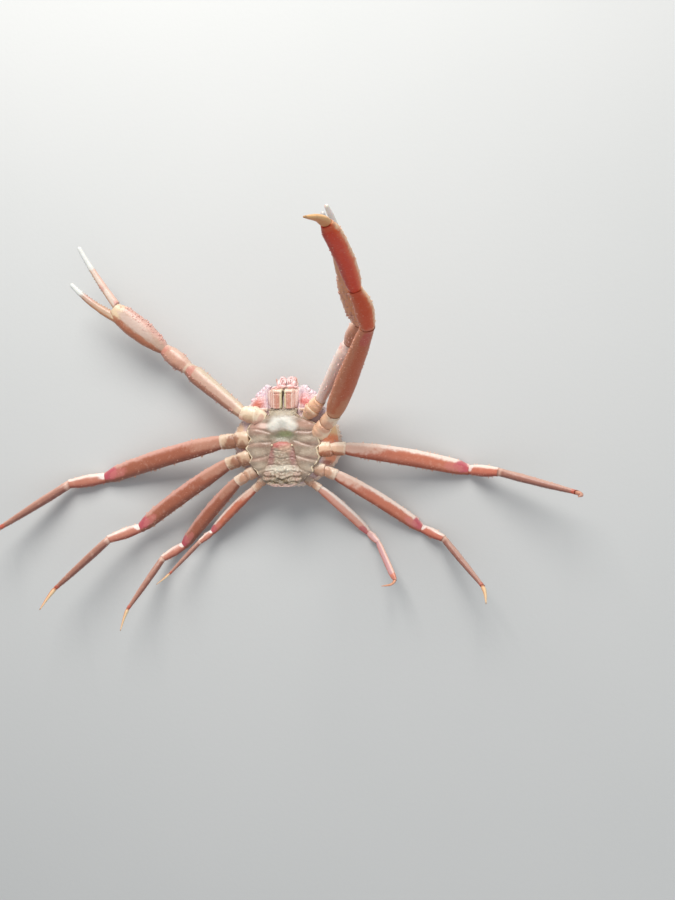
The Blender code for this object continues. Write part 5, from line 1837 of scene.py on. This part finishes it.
def arch(basket, centre, wide, tall, thick, tilt, span, lean=0.0):
    """A small fleshy arch of uneven thickness, thin at both ends."""
    turn = np.linspace(*span, ARCH_STEPS)
    small = full_turn(ARCH_SIDES)[None, :, None]
    out = np.stack([np.cos(turn), np.sin(turn) * math.cos(tilt),
                    -np.sin(turn) * math.sin(tilt)], -1)
    reach = out * (wide, tall, tall)
    reach[:, 0] += lean * np.sin(turn) * tall
    up = np.array((0, math.sin(tilt), math.cos(tilt)))
    body = thick * (1 + 0.22 * np.sin(3 * turn + centre[0]) + 0.10 * np.sin(7 * turn))
    body = body * np.sqrt(np.clip(np.sin(np.linspace(0.04, 3.10, ARCH_STEPS)), 0, 1))
    ring = np.cos(small) * out[:, None, :] + np.sin(small) * up
    points = np.array(centre) + reach[:, None, :] + body[:, None, None] * ring
    basket.sheet(points[:, ::-1] * MM)


PINK = plain_finish("front cluster shell", (246, 218, 214), (234, 178, 174), 0.42, 0.25, 0.0)
basket = Basket("front_cluster")
for x, y, lean in ((-3.2, 55.2, -0.12), (5.8, 55.6, 0.06)):
    arch(basket, (x, y, 37.0), 3.1, 4.8, 1.35, 0.45, (-0.9, 4.0), lean)
    arch(basket, (x + 0.2, y - 1.2, 38.2), 1.5, 3.6, 0.85, 0.45, (-0.8, 3.9), -lean)
    ball(basket, (x * 1.9 - 1.6, 52.5, 35.5), (2.6, 4.6, 3.4), relief=0.09, seed=3)
    ball(basket, (x, 49.6, 38.8), (4.4, 2.4, 2.6), relief=0.07, seed=7)
    ball(basket, (x, y - 1.0, 34.6), (3.4, 4.4, 2.2), relief=0.06, seed=9)
for side in (-1, 1):
    arch(basket, (side * 11.0 + 0.5, 45.0, 40.5), 5.6, 5.0, 1.0, 0.6, (0.2, 2.94))
side = dice.beta(2.2, 2.2, BRISTLES) * dice.choice((-1, 1), BRISTLES)
x = TUFT_MIDDLE + 9.5 * side
round_front = np.sqrt(np.clip(1 - ((x - TUFT_MIDDLE) / 10) ** 2, 0, 1))
y = 50.5 + dice.uniform(0, 9.0, BRISTLES) * round_front
z = 36.6 - (y - 50) * 0.25 + dice.uniform(-1.5, 0.5, BRISTLES)
aims = np.stack([(x - TUFT_MIDDLE) * 0.07, np.full(BRISTLES, 0.9),
                 0.35 + dice.uniform(-0.4, 0.3, BRISTLES)], -1)
stand_grains(basket, np.stack([x, y, z], -1) * MM, aims, dice.uniform(0.0005, 0.0010, BRISTLES),
             dice.uniform(0.0012, 0.0034, BRISTLES), 0.95,
             dice.uniform(0.0, 0.9, BRISTLES).repeat(GRAIN_POINTS))
basket.make(PINK, [])
print("front cluster faces:", TALLY[-1])

# %% [markdown]
# ## Eyes and feelers
#
# The eyes are dark and glossy, on short stalks, and a short ringed feeler
# stands beside each. The photo hides them, so their form is taken from the
# species. The stalk and the eye are short tubes, and the feeler is a stack
# of rings along a line that bends outward and up.

# %% Eyes and feelers
STALK_PROFILE = ((0, 0.0044, 0.0044), (0.5, 0.0040, 0.0040), (1.0, 0.0054, 0.0054))
EYE_PROFILE = ((0, 0.0044, 0.0044), (0.35, 0.0054, 0.0054), (0.7, 0.0048, 0.0048),
               (0.93, 0.0030, 0.0030), (1.0, 0.0018, 0.0018))
UPWARD = np.array((0.0, 0.0, 1.0))
FEELER_ROWS, FEELER_LENGTH, FEELER_BEND = 60, 0.0144, 0.0027
EYE = plain_finish("eye surface", (26, 18, 14), (44, 30, 20), 0.12, 0.8, 0.0, 0.00005)
STALK = plain_finish("eye stalk shell", (206, 140, 116), (226, 170, 150))


def short_tube(name, ends, profile, columns, finish, nodes):
    """A round tube of its own, for an eye or its stalk."""
    way = unit(ends[1] - ends[0])
    basket = Basket(name)
    Tube(ends, (way, way), UPWARD, profile, seed=2).skin(basket, 30, columns)
    basket.make(finish, nodes)


def feeler(side, word):
    """A short ringed feeler that bends outward and up."""
    basket = Basket("feeler_" + word)
    grid, guides = [], []
    centre = np.array((side * 9.5, 45.0, 30.0)) * MM
    way = unit(np.array((side * 0.05, 1.0, 0.10)))
    turn = full_turn(16)
    for place in np.linspace(0, 1, FEELER_ROWS):
        across = unit(UPWARD - way * way[2])
        size = (4.2 - 3.2 * place) * MM / 2 * (1 + 0.07 * math.sin(place * 80))
        grid.append(oval(centre, across, np.cross(way, across), turn, size, size))
        guides.append(side_guides(place, turn, 1, 1))
        way = unit(way + np.array((side * FEELER_BEND, 0, FEELER_BEND)))
        centre = centre + way * FEELER_LENGTH / (FEELER_ROWS - 1)
    basket.sheet(np.array(grid), np.array(guides))
    basket.make(STALK, ["antenna_" + word])


for side, word in ((1, "left"), (-1, "right")):
    start = np.array((side * 16.0, 42.0, 25.0)) * MM
    stop = np.array((side * 23.5, 50.5, 24.5)) * MM
    stalk_end = start + (stop - start) * 0.62
    eye_start = start + (stop - start) * 0.55
    short_tube("stalk_" + word, (start, stalk_end), STALK_PROFILE, 24, STALK, [])
    short_tube("eye_ball_" + word, (eye_start, stop), EYE_PROFILE, 28, EYE, ["eye_" + word])
    feeler(side, word)
print("pieces in all:", len(TALLY), "faces in all:", sum(TALLY))

# %% [markdown]
# ## Floor and light
#
# The crab was photographed outdoors under a bright cloudy sky. A large soft
# lamp on the head side, a weaker one beside the camera and a pale world give
# the same even light, on a plain pale floor. The view transform is the plain
# one, so that the colours stay those of the paint.

# %% Floor and light
floor_mesh = bpy.data.meshes.new("floor")
floor_mesh.from_pydata([(x, y, -0.0002) for x, y in ((-3, -3), (3, -3), (3, 3), (-3, 3))], [],
                       [(0, 1, 2, 3)])
floor = bpy.data.objects.new("floor", floor_mesh)
bpy.context.scene.collection.objects.link(floor)
p = Paint("floor paint")
p.start((206, 206, 204), (201, 202, 200), p.noise(3.0))
floor_mesh.materials.append(p.finish(0.8, p.noise(200.0), 0.0001, 0.0))


def soft_lamp(name, place, aim, size, power, shade):
    """A large square lamp that faces a point."""
    lamp = bpy.data.lights.new(name, "AREA")
    lamp.energy = power
    lamp.size = size
    lamp.color = shade
    made = bpy.data.objects.new(name, lamp)
    bpy.context.scene.collection.objects.link(made)
    made.location = place
    x, y, z = unit(np.array(place) - np.array(aim))
    made.rotation_euler = (math.acos(z), 0.0, math.atan2(y, x) + math.pi / 2)


soft_lamp("sky", (-0.15, 1.35, 1.25), (0, 0, 0), 1.1, 38, (1.0, 0.985, 0.96))
soft_lamp("fill", (0.9, -0.9, 1.4), (0, 0, 0), 1.4, 5, (0.96, 0.98, 1.0))
world = bpy.data.worlds.new("sky")
world.use_nodes = True
world.node_tree.nodes["Background"].inputs[0].default_value = (0.86, 0.90, 0.96, 1.0)
world.node_tree.nodes["Background"].inputs[1].default_value = 0.42
bpy.context.scene.world = world
bpy.context.scene.view_settings.view_transform = "Standard"
print("lamps:", len(bpy.data.lights))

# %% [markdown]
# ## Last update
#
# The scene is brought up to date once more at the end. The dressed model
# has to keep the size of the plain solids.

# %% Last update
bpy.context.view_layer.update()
